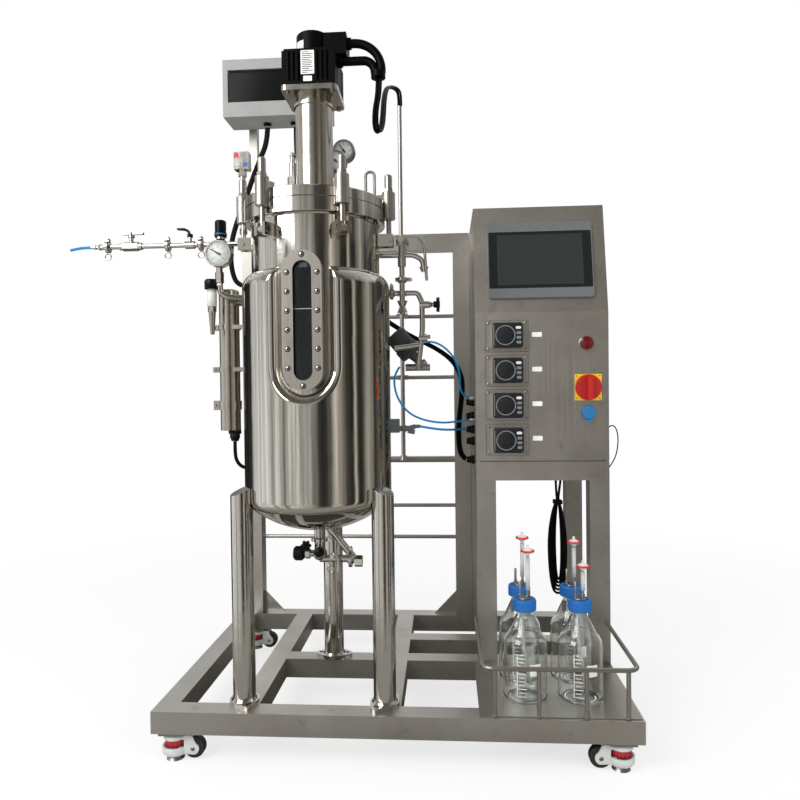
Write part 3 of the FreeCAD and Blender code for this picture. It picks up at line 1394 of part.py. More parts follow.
def cabinet_fittings():
    """Lamp, switch plate with its spindle, and the capped socket."""
    x, z = d.switch_x, d.switch_z
    lamp = new_body("lamp")
    revolve(lamp, [(0, 0), (17, 0), (17, 4), (15, 5), (13, 9), (10, 11), (0, 11)])
    shaped = fuse_one(lamp)
    shaped.Placement = FreeCAD.Placement(V(484, float(cab_front), 940), turn_to(V(0, -1, 0)))
    plate = box(67, 4, 67, (x - 33.5, cab_front - 4, z - 33.5))
    spindle = rod(6, 14, (x, cab_front - 18, z), Y)
    cap = fuse(rod(17, 12, (x, cab_front - 12, 763), Y), box(12, 8, 16, (x - 6, cab_front - 9, 738)))
    return group(shaped, fuse(plate, spindle), cap)


def main_switch():
    """Round rotary handle with a raised grip, drawn round its spindle."""
    dial = new_body("dial")
    revolve(dial, [(0, 0), (33, 0), (33, 6), (30, 9), (0, 9)])
    shaped = fuse_one(dial)
    shaped.Placement = FreeCAD.Placement(V(0, 0, 0), turn_to(V(0, -1, 0)))
    grip = box(13, 22, 58, (-6.5, -28, -31))
    return cut(fuse(shaped, grip), rod(6.06, 14.3, (0, -14, 0), Y))


node("cabinet_shell", cabinet_shell())
node("hmi_panel", hmi_panel())
node("pump_heads", pump_heads())
for number in range(4):
    spindle_at = (d.pump_x - 6, d.cabinet_front - 13, d.pump_high - number * d.pump_pitch)
    node(f"pump_rotor_{number + 1}", place(pump_rotor(), spindle_at))
node("cabinet_fittings", cabinet_fittings())
node("main_switch", place(main_switch(), (d.switch_x, d.cabinet_front - 4.3, d.switch_z)))


# ---------------------------------------------------------------- bottles
bottle_places = [(d.bottle_x + i * d.bottle_gap_x, d.bottle_y + j * d.bottle_gap_y) for j in (0, 1) for i in (0, 1)]
FILTER_HEIGHTS = (456, 422, 462, 452)
tray_top = deck + d.tray_thick


def bottle():
    """Laboratory bottle: straight wall, conical shoulder and threaded neck, open inside."""
    r, n, wall = d.bottle_radius, d.bottle_neck, d.bottle_glass
    tall = d.bottle_height
    shoulder = tall - 78
    outline = [(0, 0), (r - 6, 0), (r, 6, 6, 1), (r, shoulder), (r - 5, shoulder + 14, 24, 1), (n + 2, tall - 34),
               (n, tall - 28), (n, tall), (n - wall, tall), (n - wall, tall - 30),
               (r - 5 - wall, shoulder + 12), (r - wall, shoulder), (r - wall, wall + 3), (0, wall + 3)]
    return turned(outline)


def bottle_cap(filter_height):
    """Ribbed cap with two steel stubs and a tube that carries a disc vent filter."""
    low = d.bottle_height - 24
    r = d.cap_radius
    cap = turned([(d.bottle_neck + 0.2, low), (r, low), (r, low + 22), (r - 3, low + d.cap_height, 3, 1),
                  (8, low + d.cap_height), (8, low + 24.2), (d.bottle_neck + 0.2, low + 24.2)])
    base = float(low + d.cap_height)
    plug = rod(16, 6, (0, 0, base - 3))
    stub = rod(3, 40, (-9, 0, base))
    rise = filter_height - float(tray_top) - base
    pipe = rod(3, 26, (8, 0, base))
    tube_part = rod(5, rise - 34, (8, 0, base + 22))
    disc = turned([(0, 0), (6, 0), (14.5, 10), (14.5, 13), (6, 18), (3, 18), (3, 24), (0, 24)])
    held = fuse_one(disc)
    held.Placement = FreeCAD.Placement(V(8, 0, base + rise - 12), FreeCAD.Rotation())
    return fuse(cap, plug, stub, pipe, tube_part, held)


glass, caps = [], []
for (x, y), filter_height in zip(bottle_places, FILTER_HEIGHTS):
    at = (x, y, tray_top)
    glass.append(place(fuse_one(bottle()), at))
    caps.append(place(fuse_one(bottle_cap(filter_height)), at))
node("bottles", group(*glass))
node("bottle_caps", group(*caps))


# ---------------------------------------------------------------- cords and hoses
CORDS = {
    "motor_cables": (6, [(-26, -219, 1558), (-26, -219, 1526), (-36, -213, 1484), (-38, -190, 1452),
                         (-32, -160, 1452), (-28, -128, 1480), (-28, -90, 1524), (-30, -46, 1572),
                         (-31, 4, 1616), (-31, 64, 1656), (-30, 130, 1690), (-27, 196, 1718), (-20, 250, 1738),
                         (-12, 288, 1744), (-10, 300, 1728), (-10, 300, 1704)]),
    "breaker_hose": (8, [(-420, 277, 1643), (-422, 277, 1600), (-446, 277, 1546), (-472, 278, 1484),
                         (-496, 280, 1420), (-524, 285, 1358), (-546, 294, 1296), (-553, 308, 1236),
                         (-551, 326, 1196), (-541, 335, 1173), (-527, 335, 1168)]),
    "sensor_cable": (3, [(-335, 277, 1643), (-335, 277, 1602), (-332, 267, 1560), (-322, 240, 1522),
                         (-306, 200, 1492), (-288, 152, 1469), (-269, 100, 1450), (-250, 46, 1435),
                         (-232, -8, 1422), (-216, -62, 1411), (-205, -112, 1402), (-212.6, -154.8, 1396),
                         (-230.6, -178.8, 1395)]),
    "cable_bundle": (8, [(-72, -20, 1036), (-48, 20, 1022), (-18, 52, 1003), (20, 62, 978), (64, 60, 956),
                         (112, 60, 930), (152, 60, 896), (171, 60, 848), (167, 60, 796), (160, 60, 746),
                         (158, 60, 700), (160, 60, 664), (166, 60, 642), (178, 60, 632)]),
    "instrument_tube": (3, [(58, -100, 733), (86, -88, 727), (112, -60, 722), (133, -22, 719), (148, 18, 717),
                            (160, 48, 716), (178, 60, 715)]),
    "air_tube": (3.4, [(-777, -130, 1199), (-795, -130, 1199), (-813, -131, 1197), (-831, -132, 1193)]),
}
for name, (radius, points) in CORDS.items():
    cord_tube(name, points, radius)


def cable_hank():
    """Spare cable hung below the cabinet: a long closed loop of strands."""
    top = d.cabinet_low
    loop = upright_obround(30, 303, 470, 48, 74)
    gap = upright_obround(9, 306, 470, 40, 80)
    neck = box(44, 22, 110, (-22, 50, top - 110))
    hank = cut(fuse(loop, neck), gap)
    bind(hank, "Placement.Base.x", HANK_X - 14)
    return hank


node("cable_hank", cable_hank())


# ---------------------------------------------------------------- check and write
doc.recompute()
for obj in doc.Objects:
    if "Invalid" in obj.State or "Error" in obj.State:
        raise RuntimeError(f"{obj.Name} ({obj.Label}) failed: {obj.State}")
os.makedirs("parts", exist_ok=True)
for name, obj in nodes.items():
    if obj.Shape.isNull() or not obj.Shape.isValid() or obj.Shape.Volume <= 0:
        raise RuntimeError(f"{name} has no valid solid")
    obj.Shape.exportStep(f"parts/{name}.step")
print(len(nodes), "sub-parts")
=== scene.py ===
"""Looks of the skid-mounted bioreactor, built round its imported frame.

The front faces -Y and Z is up.  Surfaces are worked out in millimetres and become metres where each mesh is made.
The frame's pieces that nothing below stands for are shown as they are, with their own finishes.
"""
import math
import bmesh
import bpy
import numpy as np
from mathutils import Matrix, Vector


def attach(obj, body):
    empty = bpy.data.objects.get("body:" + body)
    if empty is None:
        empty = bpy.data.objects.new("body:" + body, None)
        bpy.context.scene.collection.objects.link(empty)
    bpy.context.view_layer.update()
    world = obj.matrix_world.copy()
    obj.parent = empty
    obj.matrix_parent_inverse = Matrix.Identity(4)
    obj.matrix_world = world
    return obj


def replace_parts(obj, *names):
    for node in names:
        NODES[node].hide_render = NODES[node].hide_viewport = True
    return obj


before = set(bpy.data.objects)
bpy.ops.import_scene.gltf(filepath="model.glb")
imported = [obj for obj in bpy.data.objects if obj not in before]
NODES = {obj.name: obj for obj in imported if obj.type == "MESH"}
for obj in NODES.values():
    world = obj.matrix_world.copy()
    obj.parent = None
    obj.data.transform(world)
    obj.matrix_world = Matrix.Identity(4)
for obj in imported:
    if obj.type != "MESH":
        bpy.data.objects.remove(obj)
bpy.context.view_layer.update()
MM = 0.001
FRONT = (0, -1, 0)
UP = (0, 0, 1)


# ---- helpers for surfaces
def link(name, data):
    """A new object in the scene."""
    made = bpy.data.objects.new(name, data)
    bpy.context.scene.collection.objects.link(made)
    return made


def show(name, data, material, body="frame"):
    """A finished mesh or curve as a piece on the body that carries it."""
    data.materials.append(bpy.data.materials[material])
    piece = link(name, data)
    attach(piece, body)
    return piece


def make_mesh(name, parts, material, body="frame", smooth=True, closed=True):
    """One piece from (points, faces) or a list of such pairs; a closed one has its faces turned outwards."""
    points, faces = join_parts(parts) if isinstance(parts, list) else parts
    mesh = bpy.data.meshes.new(name)
    mesh.from_pydata(np.multiply(points, MM).tolist(), [], faces)
    work = bmesh.new()
    work.from_mesh(mesh)
    bmesh.ops.remove_doubles(work, verts=work.verts, dist=1e-6)
    if closed:
        bmesh.ops.recalc_face_normals(work, faces=work.faces)
    work.to_mesh(mesh)
    work.free()
    mesh.polygons.foreach_set("use_smooth", np.full(len(mesh.polygons), smooth))
    return show(name, mesh, material, body)


def join_parts(parts):
    """Stacks several (points, faces) pairs into one pair."""
    points, faces, start = [], [], 0
    for part_points, part_faces in parts:
        points.append(np.reshape(part_points, (-1, 3)))
        faces += [[start + i for i in face] for face in part_faces]
        start += len(points[-1])
    return np.vstack(points), faces


def quads(rows, columns, wrap_rows=False, wrap_columns=False):
    """Faces of a grid of rows x columns points."""
    i, j = np.meshgrid(np.arange(rows - (not wrap_rows)), np.arange(columns - (not wrap_columns)), indexing="ij")
    i, j = i.ravel(), j.ravel()
    up, right = (i + 1) % rows, (j + 1) % columns
    return np.stack([i * columns + j, i * columns + right, up * columns + right, up * columns + j], 1).tolist()


def drum(rows, columns, first=True, last=True):
    """Faces of stacked closed rows, the first and the last filled where asked."""
    faces = quads(rows, columns, wrap_columns=True)
    for filled, start in ((first, 0), (last, (rows - 1) * columns)):
        if filled:
            faces.append(list(range(start, start + columns)))
    return faces


def rings(rows, angle):
    """Rows of points round an axis: each row's radius, a number or one for each angle, and its height."""
    return np.concatenate([np.stack([r * np.cos(angle), r * np.sin(angle), h + 0 * angle], -1) for r, h in rows])


def round_angles(count):
    """Angles of a full turn."""
    return np.linspace(0, 2 * math.pi, count, endpoint=False)


def basis(along, up=UP):
    """Right, up and out vectors of a frame whose out is the given direction."""
    out = np.divide(along, np.linalg.norm(along))
    if abs(out @ up) > 0.95 * np.linalg.norm(up):
        up = (0, 1, 0)
    right = np.cross(up, out)
    right /= np.linalg.norm(right)
    return right, np.cross(out, right), out


def put(local, at, along=UP, up=UP):
    """Moves local (right, up, out) coordinates to a place and direction."""
    return np.add(at, np.reshape(local, (-1, 3)) @ np.stack(basis(along, up)))


def lathe(profile, at, along=UP, turns=48):
    """Turned part: the profile's points (r, h) carried round as r cos a, r sin a, h, with its ends capped."""
    faces = drum(len(profile), turns, profile[0][0] > 0, profile[-1][0] > 0)
    return put(rings(profile, round_angles(turns)), at, along), faces


def hollow_ring(profile, at, along=UP, turns=48):
    """A turned ring: the profile closes on itself."""
    return lathe(profile, at, along, turns)[0], quads(len(profile), turns, True, True)


def arc_points(centre, radius, start, end, steps):
    """Points of an arc, its angles in degrees from the first axis."""
    a = np.radians(np.linspace(start, end, steps))
    return np.stack([centre[0] + radius * np.cos(a), centre[1] + radius * np.sin(a)], 1)


def rounded_rect(width, height, radius, steps=6):
    """Outline of a rectangle with quarter-circle corners, counter-clockwise from the lower right."""
    x, y = width / 2 - radius, height / 2 - radius
    return np.vstack([arc_points((sx * x, sy * y), radius, turn - 90, turn, steps)
                      for turn, sx, sy in ((0, 1, -1), (90, 1, 1), (180, -1, 1), (270, -1, -1))])


def inset(outline, distance):
    """The outline moved inwards along the mean normal of its two sides at each point."""
    tangent = np.roll(outline, -1, 0) - np.roll(outline, 1, 0)
    tangent /= np.maximum(np.linalg.norm(tangent, axis=1, keepdims=True), 1e-9)
    return outline + distance * np.stack([-tangent[:, 1], tangent[:, 0]], 1)


def slab(outline, depth, bevel, at, along=FRONT, up=UP):
    """Plate of a closed outline: rows at the back, the bevel's start and the inset front, both ends capped."""
    outline = np.asarray(outline, float)
    rows = [(outline, 0), (outline, depth - bevel), (inset(outline, bevel), depth)]
    if bevel > 0:
        rows.insert(2, (inset(outline, bevel * 0.3), depth - bevel * 0.3))
    local = np.concatenate([np.column_stack([o, np.full(len(o), h)]) for o, h in rows])
    return put(local, at, along, up), drum(len(rows), len(outline))


def tile(width, height, radius, depth, bevel, at, along=FRONT, up=UP, steps=6):
    """Slab of a rectangle with round corners."""
    return slab(rounded_rect(width, height, radius, steps), depth, bevel, at, along, up)


def bar(start, end, radius, turns=16):
    """Round bar from one point to another with slightly rounded ends."""
    way = np.subtract(end, start)
    length = np.linalg.norm(way)
    soft = min(radius * 0.3, length * 0.2)
    return lathe([(0, 0), (radius - soft, 0), (radius, soft), (radius, length - soft), (radius - soft, length),
                  (0, length)], start, way, turns)


def disc(radius, depth, at, along=FRONT, soft=0, turns=40):
    """Flat round plate with a softened front edge."""
    return lathe([(0, 0), (radius, 0), (radius, depth - soft), (radius - soft, depth), (0, depth)], at, along, turns)


# ---- helpers for materials
def srgb(code):
    """Linear colour of an sRGB hex value: the usual curve, channel by channel."""
    value = np.array([int(code[i:i + 2], 16) / 255 for i in (1, 3, 5)])
    linear = np.where(value <= 0.04045, value / 12.92, ((value + 0.055) / 1.055) ** 2.4)
    return (*linear.tolist(), 1)


def add(tree, kind, inputs=None, stops=(), pick=0, hard=False, **settings):
    """Adds one node and gives its picked output, or all of them for None.

    Settings are its properties, inputs its sockets' values, colours or links, and stops a ramp's (place, hex).
    """
    made = tree.nodes.new("ShaderNode" + kind)
    for key, value in settings.items():
        setattr(made, key, value)
    for index, (place, code) in enumerate(stops):
        if index > 1:
            made.color_ramp.elements.new(1)
        made.color_ramp.elements[index].position = place
        made.color_ramp.elements[index].color = srgb(code)
    if hard:
        made.color_ramp.interpolation = "CONSTANT"
    for key, value in (inputs or {}).items():
        if isinstance(value, bpy.types.NodeSocket):
            tree.links.new(value, made.inputs[key])
        else:
            made.inputs[key].default_value = srgb(value) if isinstance(value, str) else value
    return made.outputs if pick is None or not made.outputs else made.outputs[pick]


def noise(place, scale, detail, **more):
    """Cloudy noise, this many clouds to the metre."""
    return add(place.id_data, "TexNoise", {"Vector": place, "Scale": scale, "Detail": detail, **more}, pick="Fac")


def spread(value, low, high, start=0, end=1):
    """The value's range from start to end carried over to the range from low to high."""
    return add(value.id_data, "MapRange", {"Value": value, "From Min": start, "From Max": end, "To Min": low,
                                           "To Max": high})


def blend(tree, share, first, second, way="MIX"):
    """Two colours mixed, the second by its share."""
    return add(tree, "MixRGB", {"Fac": share, "Color1": first, "Color2": second}, blend_type=way)


def new_material(name):
    """A new material's tree, emptied, and a place in it: the object's own coordinates."""
    material = bpy.data.materials.new(name)
    material.use_nodes = True
    tree = material.node_tree
    tree.nodes.clear()
    return tree, add(tree, "TexCoord", pick="Object")


def finish_material(tree, inputs, bump, strength=0.1, distance=0.0005):
    """Closes a material's tree with its shader and the bump of a height."""
    inputs["Normal"] = add(tree, "Bump", {"Height": bump, "Strength": strength, "Distance": distance})
    add(tree, "OutputMaterial", {"Surface": add(tree, "BsdfPrincipled", inputs)})


# ---- materials
def linished_stainless(name, colour, grain, rough):
    """Type 304 sheet or tube, belt ground: scratches about 1.4 mm apart in a streaked sheen, with dull stains."""
    tree, place = new_material(name)
    scratches = noise(add(tree, "Mapping", {"Vector": place, "Scale": grain}), 1, 3)
    stains = noise(place, 26, 6, Roughness=0.65)
    tone = blend(tree, noise(place, 9, 3), colour, "#B7B3AC")
    tone = blend(tree, spread(stains, 0, 0.3, 0.58, 0.72), tone, "#7D7870")
    polish = spread(scratches, rough - 0.07, rough + 0.09, 0.3, 0.7)
    finish_material(tree, {"Base Color": tone, "Metallic": 1, "Roughness": polish},
                    scratches, 0.12, 0.0003)


def mirror_stainless(name, colour, rough=0.06, wave=14):
    """Type 316L buffed to a mirror: clean reflections that waver a little where the buff has dwelt."""
    tree, place = new_material(name)
    polish = spread(noise(place, 30, 4), rough - 0.02, rough + 0.06, 0.35, 0.75)
    finish_material(tree, {"Base Color": colour, "Metallic": 1, "Roughness": polish},
                    noise(place, wave, 1), 0.25, 0.002)


def cast_surface(name, colour, rough, grit=900, depth=0.15, shine=0.5):
    """Moulded or powder-coated surface: even colour, faint clouds and a grit of about a millimetre."""
    tree, place = new_material(name)
    clouds = noise(place, 25, 2)
    darker = tuple(share * 0.82 for share in srgb(colour)[:3]) + (1,)
    finish_material(tree, {
        "Base Color": blend(tree, clouds, colour, darker), "Specular IOR Level": shine,
        "Roughness": spread(clouds, rough - 0.05, rough + 0.08)}, noise(place, grit, 2), depth, 0.0004)


def clear_material(name, colour, rough, ior, film=0, through=1):
    """Glass or silicone: light goes through, bent by its index; the rest gives a milky body."""
    tree, place = new_material(name)
    draw = noise(place, 40, 1)
    finish_material(tree, {
        "Base Color": colour, "Roughness": spread(draw, rough, rough + film), "IOR": ior,
        "Transmission Weight": through}, draw, 0.05, 0.0005)


def tinted_cover(name, colour, see_through, rough=0.08, shine=0.5, clear=0.5):
    """Smoked acrylic sheet, thin enough that it only dims what is behind it."""
    tree, place = new_material(name)
    polish = spread(noise(place, 60, 3), rough, rough + 0.1)
    gloss = add(tree, "BsdfPrincipled", {"Base Color": colour, "Roughness": polish, "Specular IOR Level": shine})
    tint = [clear + (1 - clear) * share for share in srgb(colour)[:3]]
    dimmed = add(tree, "BsdfTransparent", {"Color": (*tint, 1)})
    add(tree, "OutputMaterial", {"Surface": add(tree, "MixShader", {"Fac": see_through, 1: gloss, 2: dimmed})})


def screen_with_painted_sheen(name):
    """Touch screen: dark glass with a soft diagonal sheen painted into its colour."""
    tree, place = new_material(name)
    turned = add(tree, "Mapping", {"Vector": place, "Rotation": (0, 0.5, 0), "Scale": (5, 1, 5)})
    # Painted sheen: a diagonal gradient of greys in the base colour stands for a reflection across the glass.
    sheen = add(tree, "TexGradient", {"Vector": turned}, pick="Fac")
    speck = noise(place, 260, 2)
    tone = add(tree, "ValToRGB", {"Fac": sheen}, [(0, "#1D1F20"), (0.5, "#232526"), (1, "#2E3031")])
    finish_material(tree, {"Base Color": tone, "Roughness": spread(speck, 0.12, 0.22),
                           "Coat Weight": 0.4}, speck, 0.02)


def sheathed(name, colour, pitch, rough=0.5, depth=0.35):
    """Extruded sheath on a cord, with faint rings across it this far apart."""
    tree, place = new_material(name)
    along = add(tree, "TexCoord", pick="UV")
    ridges = add(tree, "TexWave", {"Vector": along, "Scale": 1 / pitch, "Distortion": 0}, pick="Fac",
                 bands_direction="X")
    dusty = blend(tree, noise(place, 120, 2), colour, "#2A2A2A")
    finish_material(tree, {"Base Color": blend(tree, 0.12, colour, dusty), "Roughness": rough,
                           "Specular IOR Level": 0.08}, ridges, depth, 0.0006)


def banded(name, stops, metals, rough=0.4):
    """One fitting in several colours: hard-edged bands up its height, stops in metres, bands of metal in white."""
    tree, place = new_material(name)
    height = add(tree, "SeparateXYZ", {"Vector": place}, pick="Z")
    first, last = stops[0][0], stops[-1][0]
    share = spread(height, 0, 1, first, last)
    bands = [add(tree, "ValToRGB", {"Fac": share}, [((at - first) / (last - first), code) for at, code in row],
                 hard=True) for row in (stops, metals)]
    finish_material(tree, {"Base Color": bands[0], "Roughness": rough, "Metallic": bands[1]},
                    noise(place, 700, 2), 0.1)


LENGTHWISE = (3, 700, 700)
UPRIGHT = (700, 700, 3)
linished_stainless("linished_square_tube", "#DAD8D3", LENGTHWISE, 0.42)
linished_stainless("linished_upright_tube", "#CCC9C3", UPRIGHT, 0.42)
linished_stainless("linished_cabinet_sheet", "#E6E3DC", UPRIGHT, 0.38)
linished_stainless("satin_turned_steel", "#C4C0B9", (900, 900, 12), 0.32)
linished_stainless("linished_tray_sheet", "#ABA7A0", (3, 3, 700), 0.36)
linished_stainless("linished_pump_plate", "#DAD7D2", LENGTHWISE, 0.34)
linished_stainless("zinc_plate", "#9DA1A5", (200, 200, 200), 0.38)
mirror_stainless("buffed_vessel_steel", "#C9C6BF")
mirror_stainless("drawn_tube_steel", "#BDB8AF", 0.2, 20)
mirror_stainless("polished_pipe_steel", "#D0CDC7", 0.12, 40)
for row in (
        ("castor_enamel", "#C9CBC8", 0.42), ("nylon_tread", "#2B2B2D", 0.5), ("red_nylon", "#B3202B", 0.35),
        ("black_stoved_paint", "#060607", 0.42, 500, 0.15, 0.08), ("white_silicone", "#D8D6D0", 0.5),
        ("grey_enclosure_abs", "#999A97", 0.45), ("black_phenolic", "#0A0A0B", 0.3, 900, 0.15, 0.22),
        ("black_rubber", "#0A0A0B", 0.6, 900, 0.15, 0.15), ("grey_valve_nylon", "#34373A", 0.45),
        ("pale_polyamide", "#DCDDD8", 0.4), ("blue_polypropylene", "#0B66B4", 0.38),
        ("blue_socket_nylon", "#1D6FA8", 0.4), ("red_switch_nylon", "#B81F1A", 0.33),
        ("dark_red_lens", "#5E0D12", 0.18), ("red_filter_rim", "#D62A33", 0.35), ("black_print", "#1A1A1A", 0.5),
        ("white_print", "#EDEDE9", 0.5), ("white_dial_enamel", "#EEEEEC", 0.4), ("grey_track_ring", "#76797C", 0.4),
        ("black_glass_border", "#1D1F20", 0.15, 900, 0.02), ("screen_bezel", "#66696B", 0.35)):
    cast_surface(*row)
screen_with_painted_sheen("touch_screen_glass")
clear_material("borosilicate_sight_glass", "#5F7180", 0.02, 1.47)
clear_material("borosilicate_bottle_glass", "#FAFCFB", 0, 1.47)
clear_material("silicone_hose", "#E9ECEB", 0.3, 1.41, 0.1, 0.5)
tinted_cover("smoked_polycarbonate", "#1B1C1D", 0.42, 0.08, 0.12, 0.22)
tinted_cover("smoked_pump_cover", "#2A2B2D", 0.25, 0.1)
tinted_cover("dial_crystal", "#F6F8F8", 0.95, 0.04)
sheathed("black_cord_sheath", "#070707", 0.02, 0.45)
sheathed("grey_spiral_conduit", "#1C1D1E", 0.01, 0.5, 0.9)
sheathed("blue_polyurethane_tube", "#1F86C8", 0.05, 0.3, 0.1)


# ---- floor, light and camera
def studio_world():
    """White to the eye; to the steel a room with a bright window wall and dark upright shapes."""
    world = bpy.data.worlds.new("studio")
    bpy.context.scene.world = world
    world.use_nodes = True
    tree = world.node_tree
    tree.nodes.clear()
    way = add(tree, "TexCoord", pick="Generated")
    part = add(tree, "SeparateXYZ", {"Vector": way}, pick=None)
    heading = add(tree, "Math", {0: part["X"], 1: part["Y"]}, operation="ARCTAN2")
    room = add(tree, "ValToRGB", {"Fac": spread(heading, 0, 1, -math.pi, math.pi)}, [
        (0, "#C4C1BC"), (0.045, "#DCDAD6"), (0.08, "#F6F5F3"), (0.104, "#E8E6E2"), (0.116, "#76736D"),
        (0.132, "#DEDCD8"), (0.16, "#FFFFFF"), (0.176, "#A5A29C"), (0.195, "#FFFFFF"), (0.292, "#FFFFFF"),
        (0.312, "#373634"), (0.44, "#262626"), (0.48, "#83807B"), (0.5, "#E4E3E1"), (0.52, "#83807B"),
        (0.56, "#2C2B2A"), (0.64, "#403E3B"), (0.655, "#8E8B85"), (0.7, "#34322F"), (0.735, "#D2CDC3"),
        (0.775, "#33302D"), (0.798, "#4E4A45"), (0.806, "#EAE5DA"), (0.82, "#36332F"), (0.85, "#4B4843"),
        (0.868, "#B9B2A6"), (0.9, "#E9E3D8"), (0.918, "#77726B"), (0.945, "#3B3936"), (0.968, "#57544F"),
        (1, "#C4C1BC")])
    upright = add(tree, "Mapping", {"Vector": way, "Scale": (16, 16, 2.5)})
    strength = spread(noise(upright, 1, 3), 0.55, 1.15, 0.35, 0.65)
    ceiling = blend(tree, spread(part["Y"], 0, 1, -0.5, 0.5), "#6F6B63", "#F7F7F6")
    walls = blend(tree, spread(part["Z"], 0, 1, 0.2, 0.42), room, ceiling)
    ray = add(tree, "LightPath", pick=None)
    seen = blend(tree, ray["Is Glossy Ray"], "#D2D2D2", blend(tree, 1, walls, strength, "MULTIPLY"))
    clear = add(tree, "Math", {0: ray["Is Camera Ray"], 1: ray["Is Transmission Ray"]}, operation="MAXIMUM")
    light = add(tree, "Background", {"Color": blend(tree, clear, seen, "#FFFFFF"), "Strength": 1})
    add(tree, "OutputWorld", {"Surface": light})


def studio_floor():
    """Large floor that keeps the machine's shadow and fades to white away from it; in reflections it is a grey glow
    with painted shade, darker in an oval under the machine.
    """
    tree, place = new_material("pale_floor")
    reach = add(tree, "VectorMath", {0: place}, pick="Value", operation="LENGTH")
    ray = add(tree, "LightPath", pick=None)
    lift = add(tree, "Math", {0: ray["Is Camera Ray"], 1: spread(reach, 0.72, 1, 0.7, 2.6)},
               operation="MULTIPLY")
    diffuse = add(tree, "BsdfDiffuse", {"Color": "#FAFAF9"})
    lit = add(tree, "MixShader", {"Fac": lift, 1: diffuse, 2: add(tree, "Emission", {"Color": "#FFFFFF"})})
    # Painted shade for reflections: a grey glow, dark in an oval under the machine where its shadow falls, lighter
    # outwards, and seen through beyond 1.5 m.
    oval = add(tree, "Mapping", {"Vector": place, "Scale": (0.65, 1, 1)})
    under = add(tree, "VectorMath", {0: oval}, pick="Value", operation="LENGTH")
    reflected_floor_painted_shade = blend(tree, spread(under, 0, 1, 0.34, 0.62), "#45423D", "#A19E98")
    near = add(tree, "MixShader", {"Fac": spread(reach, 0, 1, 0.95, 1.5),
                                   1: add(tree, "Emission", {"Color": reflected_floor_painted_shade}), 2: add(tree, "BsdfTransparent")})
    add(tree, "OutputMaterial", {"Surface": add(tree, "MixShader", {"Fac": ray["Is Glossy Ray"], 1: lit, 2: near})})
    side = 12
    mesh = bpy.data.meshes.new("floor")
    mesh.from_pydata([(-side, -side, 0), (side, -side, 0), (side, side, 0), (-side, side, 0)], [], [(0, 1, 2, 3)])
    mesh.materials.append(bpy.data.materials["pale_floor"])
    link("floor", mesh)


def soft_lamp(name, at, aim, size, power, mirrored=True):
    """Square soft box; one that is not mirrored lights paint and plastic only."""
    lamp = bpy.data.lights.new(name, "AREA")
    lamp.shape = "SQUARE"
    lamp.size = size
    lamp.energy = power
    made = link(name, lamp)
    made.location = at
    made.rotation_euler = (Vector(aim) - Vector(at)).to_track_quat("-Z", "Y").to_euler()
    made.visible_glossy = mirrored


def camera():
    """Standing eye at the left of the cabinet, turned and tipped by under four degrees."""
    yaw, pitch, roll = -0.0679, -0.0161, -0.0119
    ahead = np.array((math.sin(yaw) * math.cos(pitch), math.cos(yaw) * math.cos(pitch), math.sin(pitch)))
    right = np.array((math.cos(yaw), -math.sin(yaw), 0))
    up = np.cross(right, ahead)
    turn = np.stack([right * math.cos(roll) + up * math.sin(roll), -right * math.sin(roll) + up * math.cos(roll),
                     -ahead], 1)
    data = bpy.data.cameras.new("eye")
    data.sensor_width = 36
    data.lens = 30.78
    data.clip_start = 0.05
    made = link("eye", data)
    made.matrix_world = Matrix.Translation((0.1257, -1.8299, 0.8281)) @ Matrix(turn.tolist()).to_4x4()
    bpy.context.scene.camera = made


bpy.context.scene.view_settings.view_transform = "Standard"
studio_world()
studio_floor()
soft_lamp("key", (-2.4, -2.6, 2.9), (-0.1, 0, 0.8), 2.2, 110)
soft_lamp("fill", (2.8, -2.2, 2), (0.2, 0, 0.8), 2.2, 45, mirrored=False)
camera()


# ---- vessel skins
VESSEL = np.array((-181, -211))
SHELL_R, SKIN_R, JACKET_R = 150, 150.5, 173.5
DISH_RISE, KNUCKLE = 70, 35
JACKET_LOW, JACKET_TOP, WALL_LOW = 567, 1098, 585
SHOULDER_R, SHOULDER_START = 36.5, 1064
BAY_HALF, BAY_CENTRE, BAY_ROLL = 64, 882, JACKET_R - SHELL_R


def around_vessel(arc, height, radius):
    """Point on the vessel from its arc length along the jacket, counted from the front, its height and radius."""
    turn = arc / JACKET_R
    return np.stack([VESSEL[0] + radius * np.sin(turn), VESSEL[1] - radius * np.cos(turn), height + 0 * turn], -1)


def polished_piece(name, points, normals):
    """A grid of points shaded by the true normals of its formula, so that reflections run clean."""
    flat, lean = points.reshape(-1, 3), normals.reshape(-1, 3)
    corners = np.asarray(quads(*points.shape[:2]))
    across = np.cross(flat[corners[:, 2]] - flat[corners[:, 0]], flat[corners[:, 3]] - flat[corners[:, 1]])
    if np.sum(across * lean[corners[:, 0]]) < 0:
        corners = corners[:, ::-1]
    mesh = bpy.data.meshes.new(name)
    mesh.from_pydata((flat * MM).tolist(), [], corners.tolist())
    mesh.polygons.foreach_set("use_smooth", np.full(len(mesh.polygons), True))
    mesh.normals_split_custom_set_from_vertices(lean.tolist())
    return show(name, mesh, "buffed_vessel_steel")


def jacket_radius(arc, height):
    """Drum radius less the drops of the shoulder and of the bay's rim, added as sides of a right angle.

    Each drop is a quarter circle's: zero where the roll begins and the whole step where it ends.
    """
    def drop(into, radius):
        return radius - np.sqrt(np.maximum(radius ** 2 - np.clip(into, 0, radius) ** 2, 0))

    edge = np.hypot(arc, np.minimum(height - BAY_CENTRE, 0)) - BAY_HALF
    fall = np.hypot(drop(BAY_ROLL - edge, BAY_ROLL), drop(height - SHOULDER_START, SHOULDER_R))
    return np.maximum(JACKET_R - fall, SHELL_R - 0.4)


